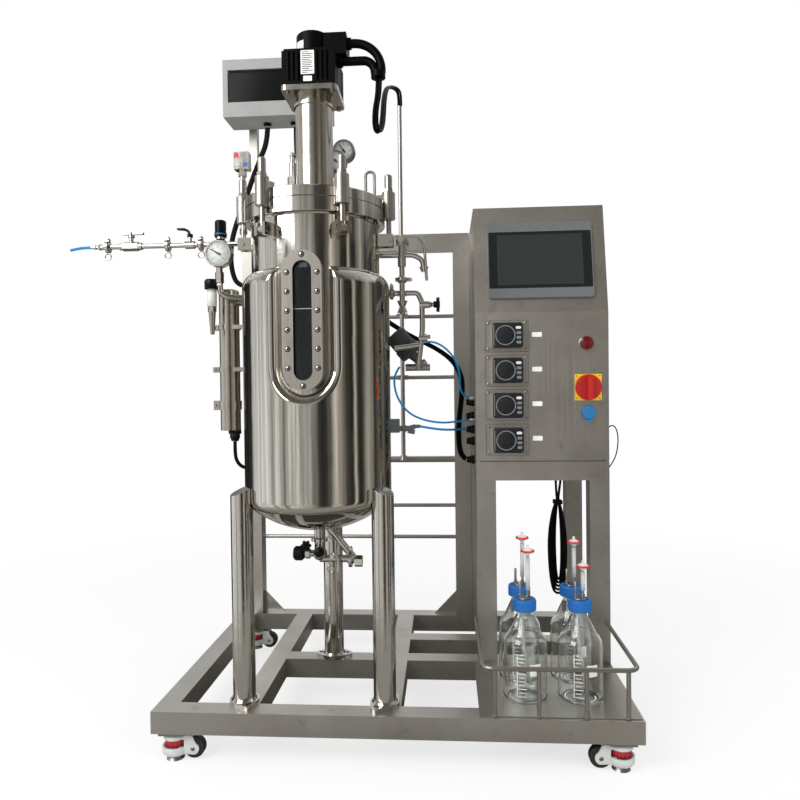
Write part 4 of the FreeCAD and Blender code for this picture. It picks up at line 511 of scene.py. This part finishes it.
def jacket_wall():
    """Drum with its U bay: rays leave the bay's edge at right angles and run out to the back seam or the knuckle.

    Each starts BAY_HALF from the bay's middle line, with its first rows crowded together where the rim rolls.
    A normal is the cross product of the two slopes.
    """
    fan = np.linspace(-math.pi / 2, 0, 46)
    spokes = np.stack([np.cos(fan), np.sin(fan)], 1)
    side = np.concatenate([BAY_HALF * spokes + (0, BAY_CENTRE),
                           np.stack([np.full(60, BAY_HALF), np.linspace(BAY_CENTRE, JACKET_TOP, 61)[1:]], 1)])
    heading = np.concatenate([spokes, np.tile((1, 0), (60, 1))])
    to_seam = (math.pi * JACKET_R - side[:, 0]) / np.maximum(heading[:, 0], 1e-9)
    to_floor = (side[:, 1] - WALL_LOW) / np.maximum(-heading[:, 1], 1e-9)
    reach = np.minimum(to_seam, to_floor)[:, None]
    roll = BAY_ROLL * (1 - np.cos(np.linspace(0, math.pi / 2, 14)))[None, :]
    rest = BAY_ROLL + (reach - BAY_ROLL) * (np.linspace(0, 1, 74)[None, 1:]) ** 1.25
    distance = np.concatenate([np.repeat(roll, len(side), 0), rest], 1)
    arc = side[:, 0, None] + heading[:, 0, None] * distance
    height = side[:, 1, None] + heading[:, 1, None] * distance
    arc = np.concatenate([-arc[::-1], arc[1:]])
    height = np.concatenate([height[::-1], height[1:]])

    def shape(a, h):
        return around_vessel(a, h, jacket_radius(a, h))

    step = 0.02
    normals = np.cross(shape(arc + step, height) - shape(arc - step, height),
                       shape(arc, height + step) - shape(arc, height - step))
    normals /= np.linalg.norm(normals, axis=-1, keepdims=True)
    normals[:, 0] = normals[:, 1]
    polished_piece("jacket_drum", shape(arc, height), normals)


def jacket_bottom():
    """Dished end: a knuckle arc from the wall, tangent to it, then the crown arc in to the outlet."""
    crown = (JACKET_R ** 2 + DISH_RISE ** 2) / (2 * DISH_RISE)
    crown_z = JACKET_LOW - DISH_RISE + crown
    tilt = math.acos((JACKET_R - KNUCKLE) / (crown - KNUCKLE))
    bend_z = crown_z - math.sin(tilt) * (crown - KNUCKLE)
    slope = np.concatenate([[0], np.linspace(0, tilt, 20), np.linspace(tilt, math.pi / 2 - 0.045, 50)[1:]])
    bend, dish = slope[1:21], slope[21:]
    radius = np.concatenate([[JACKET_R], JACKET_R - KNUCKLE + KNUCKLE * np.cos(bend), crown * np.cos(dish)])
    height = np.concatenate([[WALL_LOW], bend_z - KNUCKLE * np.sin(bend), crown_z - crown * np.sin(dish)])
    a = np.linspace(-math.pi, math.pi, 161)
    points = around_vessel(a[None, :] * JACKET_R, height[:, None], radius[:, None])
    normals = np.stack([np.cos(slope)[:, None] * np.sin(a), -np.cos(slope)[:, None] * np.cos(a),
                        -np.sin(slope)[:, None] + 0 * a], -1)
    return polished_piece("jacket_dished_end", points, normals)


def shell_patch(name, first, last, low, high):
    """Strip of the vessel's inner shell: a plain cylinder between two arcs and two heights."""
    count = max(int(abs(last - first) / 8), 4) + 1
    place = np.meshgrid(np.linspace(first, last, count), np.linspace(low, high, 12), indexing="ij")
    points = around_vessel(*place, SKIN_R)
    polished_piece(name, points, around_vessel(*place, SKIN_R + 1) - points)


def leg_caps():
    """Mitred plate that closes each leg: a disc in plan whose height falls outwards by tan 23 degrees."""
    turn = round_angles(40)
    plates = []
    for angle in np.radians((60, 180, 300)):
        across, inwards = 25.2 * np.cos(turn), 25.2 * np.sin(turn)
        top = 612 + (inwards - 25.4) * math.tan(math.radians(23))
        out = 186 - inwards
        x = VESSEL[0] + out * math.sin(angle) + across * math.cos(angle)
        y = VESSEL[1] - out * math.cos(angle) + across * math.sin(angle)
        plates.append((np.concatenate([np.stack([x, y, top + lift], 1) for lift in (-2.5, 0.4)]), drum(2, 40)))
    make_mesh("leg_cap_plates", plates, "polished_pipe_steel", smooth=False)


jacket_wall()
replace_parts(jacket_bottom(), "vessel_jacket")
shell_patch("neck_skin", -math.pi * JACKET_R, math.pi * JACKET_R, JACKET_TOP - 4, 1209)
shell_patch("bay_skin_left", -80, -46, 800, JACKET_TOP - 4)
shell_patch("bay_skin_right", 46, 80, 800, JACKET_TOP - 4)
shell_patch("bay_skin_low", -46, 46, 800, 832)
shell_patch("bay_skin_high", -46, 46, 1112, JACKET_TOP + 40)
leg_caps()


# ---- sight glass fittings
SIGHT_FACE = VESSEL[1] - 167
SIGHT_LOW, SIGHT_HIGH = 869.5, 1086.5


def clock(turn):
    """Direction in the plane of the front, its angle counted from the right."""
    return np.array((math.cos(turn), 0, math.sin(turn)))


def slotted_screw(at, radius, turn):
    """Cheese-head screw with a slot cut across its face."""
    head = lathe([(0, 0), (radius, 0), (radius, 1.2), (radius - 0.5, 1.7), (0, 1.7)], at, FRONT, 20)
    slot = tile(radius * 1.7, 0.9, 0.3, 0.2, 0.05, np.add(at, (0, -1.6, 0)), FRONT, np.cross(FRONT, clock(turn)), 3)
    return head, slot


def sight_fittings():
    """Screws round the sight frame, each over a dark ring and with a dark point, and a pale level line."""
    middle = (SIGHT_LOW + SIGHT_HIGH) / 2
    places = [(sign * 33, middle + (step - 2.5) * 41.2) for step in range(6) for sign in (-1, 1)]
    places += [(0, SIGHT_HIGH + 33), (0, SIGHT_LOW - 33)]
    heads, slots = [], []
    for number, (x, z) in enumerate(places):
        at = np.array((VESSEL[0] + x, SIGHT_FACE + 0.3, z))
        head, slot = slotted_screw(at, 4.8, 0.6 * number)
        heads.append(head)
        slots += [slot, disc(6.4, 0.3, at, turns=24), disc(2.3, 0.3, at - (0, 1.6, 0), turns=18)]
    make_mesh("sight_screw_heads", heads, "satin_turned_steel")
    make_mesh("sight_screw_slots", slots, "black_print")
    level = tile(50, 1, 0.4, 0.3, 0, (VESSEL[0], VESSEL[1] - 156.4, 1004), steps=3)
    make_mesh("sight_level_line", level, "pale_polyamide", smooth=False)


sight_fittings()


# ---- dials
def numeral(text, at, size):
    """A figure facing the front as a flat mesh."""
    curve = bpy.data.curves.new("figure", "FONT")
    curve.body = text
    curve.size = size
    curve.align_x = "CENTER"
    curve.align_y = "CENTER"
    made = link("figure", curve)
    bpy.context.view_layer.update()
    mesh = bpy.data.meshes.new_from_object(made.evaluated_get(bpy.context.evaluated_depsgraph_get()))
    local = np.array([v.co for v in mesh.vertices], float)
    faces = [list(p.vertices) for p in mesh.polygons]
    bpy.data.objects.remove(made)
    return put(local, at, FRONT), faces


def pressure_dial(name, centre, radius, needle_turn):
    """White dial with a scale over three quarters of a turn and a tapered needle, under a clear crystal."""
    face, out = np.array(centre), np.array(FRONT)
    make_mesh(f"{name}_face", disc(radius, 0.6, face), "white_dial_enamel")
    marks, figures = [], []
    for step in range(31):
        way = clock(math.radians(225 - step * 9))
        away, length, thick = (0.85, 0.1, 0.35) if step % 5 else (0.8, 0.16, 0.7)
        if step % 5 == 0:
            figures.append(numeral(str(step // 5), face + out * 0.75 + way * radius * 0.58, radius * 0.22))
        marks.append(tile(radius * length, thick, thick * 0.3, 0.15, 0, face + out * 0.6 + way * radius * away,
                          FRONT, np.cross(out, way), 2))
    make_mesh(f"{name}_scale", marks, "black_print", smooth=False)
    make_mesh(f"{name}_figures", figures, "black_print", smooth=False, closed=False)
    taper = np.array([(0.1, -0.3), (0.03, 0.8), (-0.03, 0.8), (-0.1, -0.3)]) * radius
    needle = slab(taper, 0.4, 0, face + out * 1.2, FRONT, clock(math.radians(needle_turn)))
    hub = lathe([(0, 0), (3.2, 0), (3.2, 1.2), (0, 1.5)], face + out * 0.6, FRONT, 20)
    make_mesh(f"{name}_needle", [needle, hub], "black_print", smooth=False)
    make_mesh(f"{name}_crystal", disc(radius + 0.2, 0.5, face + out * 2.3), "dial_crystal")


pressure_dial("jacket_dial", (-428, -185, 1165), 28.8, 150)
pressure_dial("lid_dial_high", (VESSEL[0] + 56, VESSEL[1] + 91, 1427), 23.8, 125)
pressure_dial("lid_dial_low", (VESSEL[0] + 39, VESSEL[1] + 65, 1394), 22.8, 140)


# ---- cabinet front
CAB_FRONT = -50
CAB_MIDDLE = 371.5
SWITCH_X = 487.5
PANEL_BEND = 1022
LEAN = math.atan2(56, 283)
PANEL_UP = np.array((0, math.sin(LEAN), math.cos(LEAN)))
PANEL_OUT = np.array((0, -math.cos(LEAN), math.sin(LEAN)))
CORNERS = [(sx, sz) for sx in (-1, 1) for sz in (-1, 1)]


def touch_panel():
    """Black glass from side to side of the bezel, and the dim picture area on it."""
    at = np.array((CAB_MIDDLE, CAB_FRONT, PANEL_BEND)) + PANEL_UP * 139 + PANEL_OUT * 8
    border = tile(264, 154, 3, 0.6, 0.2, at, PANEL_OUT, PANEL_UP)
    glass = tile(219, 137, 1, 0.3, 0.1, at + PANEL_OUT * 0.5, PANEL_OUT, PANEL_UP)
    make_mesh("screen_border", border, "black_glass_border", smooth=False)
    make_mesh("screen_glass", glass, "touch_screen_glass", smooth=False)


def pump_front(number):
    """One dosing pump: smoked cover with track ring, hinge strip and keys; the plate's screws and gap; a label."""
    x, z = 282, 961 - 89 * number
    screws = [slotted_screw((x + sx * 47.5, -54.8, z + sz * 33), 3.6, 0.7) for sx, sz in CORNERS]
    ring = hollow_ring([(22.5, 0), (25.5, 0), (25.5, 1.6), (24, 2.4), (22.5, 1.6)], (x - 6, -81.4, z), FRONT, 56)
    keys = [tile(12, 7, 1.5, 1.3, 0.4, (x + 28, -81.4, z + 6 - 12 * i)) for i in range(3)]
    for part, shape, material, smooth in (
            ("plate_gap", tile(110.6, 81.6, 3, 0.5, 0, (x, CAB_FRONT, z)), "black_print", False),
            ("cover", tile(77, 64, 7, 2.2, 0.8, (x, -79.3, z)), "smoked_pump_cover", True),
            ("track_ring", ring, "grey_track_ring", True),
            ("key", tile(14, 7, 3.4, 1.4, 0.5, (x + 27, -81.5, z + 19)), "pale_polyamide", True),
            ("pad", keys, "grey_track_ring", True),
            ("hinge_strip", tile(3, 54, 1, 1, 0.3, (x - 34.5, -81.4, z)), "satin_turned_steel", True),
            ("screws", [head for head, _ in screws], "satin_turned_steel", True),
            ("screw_slots", [slot for _, slot in screws], "black_print", True),
            ("label", tile(25, 12, 1, 0.6, 0.2, (359, CAB_FRONT, z + 3), steps=3), "white_print", False)):
        make_mesh(f"pump_{part}_{number + 1}", shape, material, smooth=smooth)


def signal_lamp():
    """Ribbed red lens in a bright collar: the lens is a dome whose height falls off from a four-armed ridge."""
    at = (484, CAB_FRONT, 940)
    collar = lathe([(0, 0), (19, 0), (19, 3), (17.4, 4.5), (16.2, 4.5), (16.2, 2), (0, 2)], at, FRONT, 56)
    make_mesh("lamp_collar", collar, "satin_turned_steel")
    angle, rim = round_angles(72), 15.5
    rows = [(rim * share, 12.8 - 3.6 * share ** 3 - 2.8 * np.abs(np.cos(2 * angle)) * share * (1 - share))
            for share in np.linspace(0, 1, 22)] + [(rim, 2)]
    lens = put(rings(rows, angle), at, FRONT), drum(23, 72, False, False)
    make_mesh("lamp_lens", lens, "dark_red_lens", closed=False)


def socket_cap():
    """Blue screw cap of the service socket, with grip ribs and its hanging tab."""
    at = np.array((SWITCH_X, CAB_FRONT, 763))
    a = round_angles(96)
    grip = 17.6 + 0.5 * np.cos(16 * a)
    rows = [(grip * share, height) for share, height in ((1, 1), (1, 10.5), (0.95, 12.6), (0.8, 13.4))]
    make_mesh("socket_cap", (put(rings(rows, a), at, FRONT), drum(4, 96)), "blue_socket_nylon")
    make_mesh("socket_tab", tile(13, 17, 4, 8.6, 1.2, at - (0, 0, 17)), "blue_socket_nylon")


def switch_marks():
    """Dark screws on the yellow plate and a pale line on the red grip."""
    at = np.array((SWITCH_X, CAB_FRONT - 4, 827))
    dots = [disc(1.6, 0.4, at + (29 * sx, 0, 29 * sz), turns=16) for sx, sz in CORNERS]
    make_mesh("switch_plate_screws", dots, "black_print")
    line = tile(1.6, 18, 0.6, 0.4, 0.1, at + (0, -22.3, 14), steps=3)
    make_mesh("switch_pointer", line, "white_print", body="main_switch")


# The dark joint where the lower door meets the panel.
make_mesh("cabinet_seam", tile(318, 1.4, 0.4, 0.4, 0, (CAB_MIDDLE, CAB_FRONT, 638), steps=2), "black_print",
          smooth=False)
touch_panel()
for number in range(4):
    pump_front(number)
signal_lamp()
socket_cap()
switch_marks()


# ---- glands and small overlays
def cable_gland(name, at, along, radius, length):
    """Domed nut over a hexagon: the outline steps from the hexagon to a dome."""
    hexagon = arc_points((0, 0), radius * 2.3 / math.sqrt(3), 0, 300, 6)
    nut = slab(hexagon, length * 0.35, length * 0.05, at, along)
    dome = lathe([(0, 0), (radius, 0), (radius, length * 0.3), (radius * 0.72, length * 0.62), (0, length * 0.64)],
                 np.add(at, np.multiply(along, length * 0.36)), along, 28)
    make_mesh(name, [nut, dome], "black_phenolic")


def castors():
    """Cast body of each castor, a cup below, a ring above and cheeks out to the wheel, mirrored on the right.

    In the window between cup and ring sits the red adjusting wheel, its rim toothed as r = r0 + t cos 16a.
    """
    places = [(f"{'rear' if sy > 0 else 'front'}_{'right' if sx > 0 else 'left'}", np.array((-sx, 1, 1)),
               np.array((sx * 495, sy * 330, 0))) for sx, sy in CORNERS]
    a = round_angles(128)
    rim = 21.5 + 0.9 * np.clip(1.8 * np.cos(16 * a), -1, 1)
    wheel = rings([(rim * 0.93, 31.6), (rim, 32.8), (rim, 44.8), (rim * 0.93, 45.8)], a)
    for place, _, at in places:
        make_mesh(f"thumbwheel_{place}", (wheel + at, drum(4, 128)), "red_nylon")
    lower = lathe([(0, 12), (24.5, 12), (28.4, 17), (29, 31), (24, 31), (23, 24), (0, 24)], (0, 0, 0), turns=56)
    upper = lathe([(0, 47), (24.5, 47), (26, 49), (25, 55), (21, 58), (0, 58)], (0, 0, 0), turns=56)
    cheek = np.concatenate([[(12, 47), (24.4, 47), (24.4, 31), (12, 31), (12, 14.5), (34, 14.5)],
                            arc_points((45, 27), 13.5, -80, 62, 14), [(44, 54), (40, 57.5), (12, 57.5)]])
    cheeks = [slab(cheek, 5, 1.2, (0, y, 0)) for y in (-10.6, 15.6)]
    body, faces = join_parts([lower, upper, *cheeks, tile(36, 25, 3, 5.5, 1.5, (26, 0, 52), UP)])
    axle = bar((45, -17, 27), (45, 17, 27), 5)
    for place, turned, at in places:
        cup = make_mesh(f"castor_cup_{place}", (body * turned + at, faces), "castor_enamel", f"castor_{place}")
        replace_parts(cup, f"castor_housing_{place}")
        make_mesh(f"castor_axle_{place}", (axle[0] * turned + at, axle[1]), "zinc_plate", f"castor_{place}")


def motor_plates():
    """White plates with plain bars on the motor's front fins, and one bent round its end cap."""
    x, y = -183, -211
    plates = [tile(31, 54, 2, 0.8, 0.2, (x, y - 62, 1577)), tile(20, 12, 1, 0.8, 0.2, (x, y - 62, 1540))]
    make_mesh("motor_plates", plates, "white_print", smooth=False)
    bars = [tile(wide, 1.7, 0.3, 0.1, 0.02, (x - (25 - wide) / 2, y - 62.8, 1600 - 4.2 * row))
            for row, wide in enumerate((16, 25, 22, 25, 19, 25, 24, 21, 25, 17, 25, 13))]
    make_mesh("motor_plate_bars", bars, "black_print", smooth=False, closed=False)
    label = rings([(39, 1616), (39.4, 1616), (39.4, 1641), (39, 1641)], np.radians(np.linspace(217, 250, 15)))
    make_mesh("motor_cap_label", (label + (x, y, 0), quads(4, 15)), "white_print", closed=False)


def lobed_knob(name, at, radius, depth, lobes, share):
    """Grip knob facing the front: r = radius (1 - share + share cos(lobes a)), softened at both ends."""
    a = round_angles(120)
    around = radius * (1 - share + share * np.cos(lobes * a))
    rows = [(around * scale, depth * rise) for scale, rise in ((0.86, 0), (1, 0.15), (1, 0.8), (0.85, 1))]
    make_mesh(name, (put(rings(rows, a), at, FRONT), drum(4, 120)), "black_phenolic")


for number, height in enumerate((790, 752, 715, 683, 632)):
    cable_gland(f"cabinet_gland_{number + 1}", (201, 60, height), (-1, 0, 0), 9.7, 23)
for number, x in enumerate((-420, -335)):
    cable_gland(f"breaker_gland_{number + 1}", (x, 277, 1657), (0, 0, -1), 9.6, 14)
cable_gland("heater_gland", (-410, -130, 729.3), (0, 0, -1), 12.6, 28)
# The relief valve beside the jacket gauge: a black cap on a milky body.
for part, z, profile, material in (
        ("cap", 1079.4, [(0, 0), (17.6, 0), (17.6, 19), (15, 23.4), (0, 23.8)], "black_phenolic"),
        ("body", 1036.5, [(0, 0), (11.5, 0), (11.8, 22), (11.5, 43), (0, 43)], "pale_polyamide")):
    make_mesh(f"relief_valve_{part}", lathe(profile, (-448, -176, z), turns=40), material)
castors()
motor_plates()
# Range marks on the front of the flow meter's block.
for name, x, z, material in (("red", -399, 1425, "red_filter_rim"), ("blue", -377, 1401, "blue_socket_nylon")):
    make_mesh(f"flow_meter_mark_{name}", tile(12, 11, 1, 0.5, 0.1, (x, -119, z)), material, smooth=False)
# Star wheel and ribbed knob at the drain, each on its own bright stem.
stems = [bar((-205, -212, 441), (-209, -238, 461), 3.5), bar((-178, -222, 440), (-176, -240, 447), 5.5)]
make_mesh("drain_knob_stems", stems, "satin_turned_steel")
lobed_knob("drain_star_wheel", (-209, -236, 461), 13, 8, 6, 0.14)
lobed_knob("drain_ribbed_knob", (-176, -237, 447), 12, 17, 16, 0.04)
# The blue ring round the regulator's knob.
band = hollow_ring([(15.2, 0), (16, 0.6), (16, 3.4), (15.2, 4)], (-439, -130, 1221), turns=56)
make_mesh("regulator_band", band, "blue_socket_nylon", "regulator_knob")


# ---- feed bottles
BOTTLE_R, BOTTLE_TALL, NECK_R, GLASS_WALL, SHOULDER_Z = 50.5, 225, 18.4, 2.4, 122
BOTTLE_FOOT = 118.2
BOTTLE_AT = [(299 + 125 * i, -252 + 112 * j) for j in (0, 1) for i in (0, 1)]
FILTER_Z = [456, 422, 462, 452]


def bottle_profile():
    """Outside then inside: heel arc, straight wall, shoulder arc, cone, neck with its pouring lip, even wall."""
    shoulder = (BOTTLE_R - 34, SHOULDER_Z)
    bore = NECK_R - GLASS_WALL
    return np.concatenate([
        [(0, 4), (BOTTLE_R - 16, 2.5)], arc_points((BOTTLE_R - 9, 9), 9, -90, 0, 10),
        arc_points(shoulder, 34, 0, 50, 16),
        [(NECK_R + 1.5, BOTTLE_TALL - 36), (NECK_R, BOTTLE_TALL - 31), (NECK_R, BOTTLE_TALL - 3),
         (NECK_R + 0.6, BOTTLE_TALL - 1.5), (NECK_R, BOTTLE_TALL), (bore, BOTTLE_TALL), (bore, BOTTLE_TALL - 32)],
        arc_points(shoulder, 34 - GLASS_WALL, 50, 0, 16),
        arc_points((BOTTLE_R - 10 - GLASS_WALL, 12), 10, 0, -90, 10), [(0, 6)]])


def print_patch(base, first, last, across, low, high, up):
    """Print on a bottle's wall between two angles from its front and two heights."""
    turn, height = np.meshgrid(np.linspace(first, last, across), np.linspace(low, high, up), indexing="ij")
    r = BOTTLE_R + 0.15
    return np.stack([r * np.sin(turn), -r * np.cos(turn), height], -1).reshape(-1, 3) + base, quads(across, up)


def bottle(number):
    """Glass, printed scale on its front, ribbed cap with stubs, dip tubes and a disc vent filter."""
    base = np.array((*BOTTLE_AT[number], BOTTLE_FOOT))
    top = base + (0, 0, BOTTLE_TALL + 1)
    filter_low = FILTER_Z[number] - top[2]
    number += 1
    glass = make_mesh(f"bottle_glass_{number}", lathe(bottle_profile(), base, turns=72), "borosilicate_bottle_glass")
    marks = [print_patch(base, -wide / 2 / BOTTLE_R - 0.25, wide / 2 / BOTTLE_R - 0.25, 9, h - 1, h + 1, 2)
             for h, wide in ((20 + 8.5 * step, 12 if step % 2 else 20) for step in range(12))]
    marks += [print_patch(base, -0.47, -0.43, 3, 19, 115, 3), print_patch(base, 0.1, 0.62, 12, 66, 92, 3)]
    make_mesh(f"bottle_scale_{number}", marks, "white_print", closed=False)
    a = round_angles(160)
    rib = 0.55 * np.clip(1.6 * np.cos(40 * a), -1, 1)
    rows = [((26.3 + rib * ribbed) * scale, h) for ribbed, scale, h in (
        (0.3, 1, 0), (1, 1, 1.5), (1, 1, 20.5), (0, 0.985, 23), (0, 0.93, 25.4), (0, 0.62, 26.2), (0, 0.6, 25.2))]
    cap = make_mesh(f"bottle_cap_{number}", (rings(rows, a) + top - (0, 0, 25), drum(7, 160)), "blue_polypropylene")
    if number == 1:
        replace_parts(glass, "bottles")
        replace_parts(cap, "bottle_caps")
    steel = [disc(14, 3, top, UP, 0.8)]
    for x, tall in ((-9, 40), (8, 26)):
        steel += [bar(top + (x, 0, 0), top + (x, 0, tall), 3), disc(4.6, 3, top + (x, 0, 8), UP, 0.4)]
    make_mesh(f"bottle_stubs_{number}", steel, "satin_turned_steel")
    hose = hollow_ring([(3.1, 0), (5, 0), (5, filter_low - 36), (3.1, filter_low - 36)], top + (8, 0, 20), turns=32)
    make_mesh(f"bottle_hose_{number}", hose, "silicone_hose")
    knee = top + (-3, -6, -110)
    dip = [bar(top + (-8, 0, -6), knee, 3.6), bar(knee + (0, 0, 2), top + (13, 4, -200), 3.6)]
    make_mesh(f"bottle_dip_tube_{number}", dip, "silicone_hose")
    at = top + (8, 0, filter_low - 14)
    funnel = lathe([(0, 0), (3.4, 0), (5.6, 4), (13.6, 10.5), (13.6, 13), (5.5, 18), (3, 19), (3, 25), (0, 25)], at)
    make_mesh(f"vent_filter_{number}", funnel, "pale_polyamide")
    rim = hollow_ring([(13.7, 0), (15.6, 0.6), (15.6, 4.4), (13.7, 5)], at + (0, 0, 9.2))
    make_mesh(f"vent_filter_rim_{number}", rim, "red_filter_rim")


for number in range(4):
    bottle(number)


# ---- cords and hoses
def cord(name, points, radius, length, material, slot, node=None, stiffness="medium", far_end="object",
         lay="hanging"):
    """A cord on one smooth spline near its points, and the frame's piece it stands for."""
    curve = bpy.data.curves.new(name, "CURVE")
    curve.dimensions = "3D"
    curve.bevel_depth = radius * MM
    curve.bevel_resolution = 5
    curve.resolution_u = 10
    curve.use_fill_caps = True
    line = curve.splines.new("NURBS")
    line.points.add(len(points) - 1)
    for point, (x, y, z) in zip(line.points, points):
        point.co = (x * MM, y * MM, z * MM, 1)
    line.order_u = 3
    line.use_endpoint_u = True
    piece = show(name, curve, material, "frame")
    if node:
        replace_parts(piece, node)


MOTOR_ROUTE = [(-26, -219, 1558), (-26, -219, 1526), (-36, -213, 1484), (-38, -190, 1452), (-32, -160, 1452),
               (-28, -128, 1480), (-28, -90, 1524), (-30, -46, 1572), (-31, 4, 1616), (-31, 64, 1656),
               (-30, 130, 1690), (-27, 196, 1718), (-20, 250, 1738), (-12, 288, 1744), (-10, 300, 1728),
               (-10, 300, 1704)]
BUNDLE_ROUTE = [(-72, -20, 1036), (-48, 20, 1022), (-18, 52, 1003), (20, 62, 978), (64, 60, 956), (112, 60, 930),
                (152, 60, 896), (171, 60, 848), (167, 60, 796), (160, 60, 746), (158, 60, 700), (160, 60, 664),
                (166, 60, 642), (178, 60, 632)]

BLACK = ("black_cord_sheath", "cable_black")
BLUE = ("blue_polyurethane_tube", "tube_clear")
cord("motor_power_cable", np.add(MOTOR_ROUTE, (-2.2, 1.5, 0)), 4.4, 0.728, *BLACK, "motor_cables")
cord("motor_signal_cable", np.add(MOTOR_ROUTE, (5.8, -3.5, 0)), 3.4, 0.728, *BLACK)
cord("breaker_conduit", [
    (-420, 277, 1643), (-422, 277, 1600), (-446, 277, 1546), (-472, 278, 1484), (-496, 280, 1420),
    (-524, 285, 1358), (-546, 294, 1296), (-553, 308, 1236), (-551, 326, 1196), (-541, 335, 1173),
    (-527, 335, 1168)], 8, 0.516, "grey_spiral_conduit", "cable_grey", "breaker_hose", "stiff")
cord("sensor_lead", [
    (-335, 277, 1643), (-335, 277, 1602), (-332, 267, 1560), (-322, 240, 1522), (-306, 200, 1492),
    (-288, 152, 1469), (-269, 100, 1450), (-250, 46, 1435), (-232, -8, 1422), (-216, -62, 1411), (-205, -112, 1402),
    (-212.6, -154.8, 1396), (-230.6, -178.8, 1395)], 3, 0.597, *BLACK, "sensor_cable")
cord("wiring_strand_1", np.add(BUNDLE_ROUTE, (-4, -3, 0)), 3.6, 0.569, *BLACK, "cable_bundle")
cord("wiring_strand_2", np.add(BUNDLE_ROUTE, (4, -3.5, 2)), 3.2, 0.569, *BLACK)
cord("wiring_strand_3", np.add(BUNDLE_ROUTE, (0, 4.5, -2)), 3.6, 0.569, *BLACK)
cord("solenoid_air_tube", [
    (58, -100, 733), (86, -88, 727), (112, -60, 722), (133, -22, 719), (148, 18, 717), (160, 48, 716),
    (178, 60, 715)], 3, 0.208, *BLUE, "instrument_tube")
cord("feed_air_tube", [
    (-777, -130, 1199), (-795, -130, 1199), (-813, -131, 1197),
    (-831, -132, 1193)], 3.4, 0.0545, *BLUE, "air_tube", far_end="bare")
cord("actuator_air_tube", [
    (60, -93, 944), (84, -93, 950), (118, -78, 938), (148, -44, 908), (162, -6, 866), (162, 16, 830),
    (172, 27, 806), (190, 30, 800)], 2.6, 0.26, *BLUE)
cord("seat_air_tube", [
    (8, -100, 884), (-4, -106, 866), (-6, -108, 836), (4, -102, 800), (28, -84, 766), (66, -50, 746),
    (112, -4, 736), (152, 24, 738), (190, 30, 742)], 2.6, 0.339, *BLUE)
cord("side_earth_lead", [
    (541, -20, 716), (552, -20, 732), (568, -20, 716), (570, -20, 676), (560, -20, 634),
    (541, -20, 612)], 1.5, 0.145, *BLACK)
cord("heater_lead", [
    (-410, -130, 703), (-411, -130, 676), (-408, -128, 650), (-394, -120, 632), (-372, -108, 632), (-346, -98, 652),
    (-324, -94, 682), (-306, -94, 700)], 4.5, 0.196, *BLACK)
fittings = [bar((202, 30, z), (187, 30, z), 5) for z in (800, 742)]
fittings += [bar((46, -93, 944), (63, -93, 944), 4.6)]
make_mesh("air_tube_fittings", fittings, "satin_turned_steel")


def spare_cable():
    """Spare length hung under the cabinet in long turns one inside the other, drawn together by a strap.

    Round by round the loop x = w cos a |cos a|^-0.3, z = h sin a narrows, shortens and moves back; both ends
    rise to the cabinet's underside.
    """
    turns, x, z = 5, 423, 396
    through = np.linspace(0, 1, 24 * turns + 1)
    a = math.pi * (0.5 + 2 * turns * through)
    swing = np.cos(a)
    pinch = 1 - 0.45 * np.clip(np.sin(a), 0, 1) ** 2
    wide = (25 - 18 * through) * pinch
    tall = 120 + np.where(np.sin(a) < 0, 14 - 40 * through, 0)
    path = np.stack([x + 7 * through + wide * np.sign(swing) * np.abs(swing) ** 0.7, 48 + 30 * through,
                     z + tall * np.sin(a)], 1)
    rise = [(x - 3, 54, 589), (x - 3, 53, 566), (x - 2, 50, 540)]
    leave = [(x + 9, 76, 540), (x + 12, 70, 566), (x + 13, 66, 589)]
    cord("spare_cable", [*rise, *path.tolist(), *leave], 3.3, 2.54, *BLACK, "cable_hank", lay="coiled")
    make_mesh("spare_cable_strap", tile(24, 38, 9, 9, 1, (x + 3, 63, 510), UP), "black_rubber")


spare_cable()


# ---- finishes of the frame's own nodes
BARE, METAL = "#000000", "#FFFFFF"
banded("actuator_and_solenoid_colours",
       [(0.7, "#5E6163"), (0.76, "#C4C0B9"), (0.898, "#34373A"), (0.99, "#34373A")],
       [(0.7, BARE), (0.76, METAL), (0.898, BARE), (0.99, BARE)], 0.36)
banded("switch_and_lamp_colours",
       [(0.73, "#1D6FA8"), (0.785, "#E5B912"), (0.9, "#5E0D12"), (0.97, "#5E0D12")],
       [(0.73, BARE), (0.97, BARE)])
for row in (
        "linished_square_tube skid_frame", "linished_tray_sheet bottle_tray", "linished_upright_tube rear_portal",
        "zinc_plate levelling_feet", "buffed_vessel_steel vessel_shell lid_plate agitator",
        "borosilicate_sight_glass sight_glass", "white_silicone lid_gasket", "black_stoved_paint motor_body",
        "satin_turned_steel sight_frame vessel_internals lid_fittings swing_clamp", "screen_bezel hmi_panel",
        "polished_pipe_steel vessel_legs air_line air_valve_lever right_pipework bottom_valves",
        "drawn_tube_steel drive_column jacket_heater", "grey_enclosure_abs breaker_box",
        "smoked_polycarbonate breaker_door", "linished_cabinet_sheet cabinet_shell",
        "black_phenolic lever_handle regulator_knob valve_handwheel sample_knob", "linished_pump_plate pump_heads",
        "actuator_and_solenoid_colours valve_actuators", "switch_and_lamp_colours cabinet_fittings",
        "red_switch_nylon main_switch", "black_cord_sheath cable_hank", "castor_enamel castor_housing",
        "nylon_tread castor_wheel", "grey_valve_nylon pump_rotor"):
    finish, *starts = row.split()
    for name in NODES:
        if name.startswith(tuple(starts)):
            materials = NODES[name].data.materials
            for index in range(len(materials)):
                materials[index] = bpy.data.materials[finish]
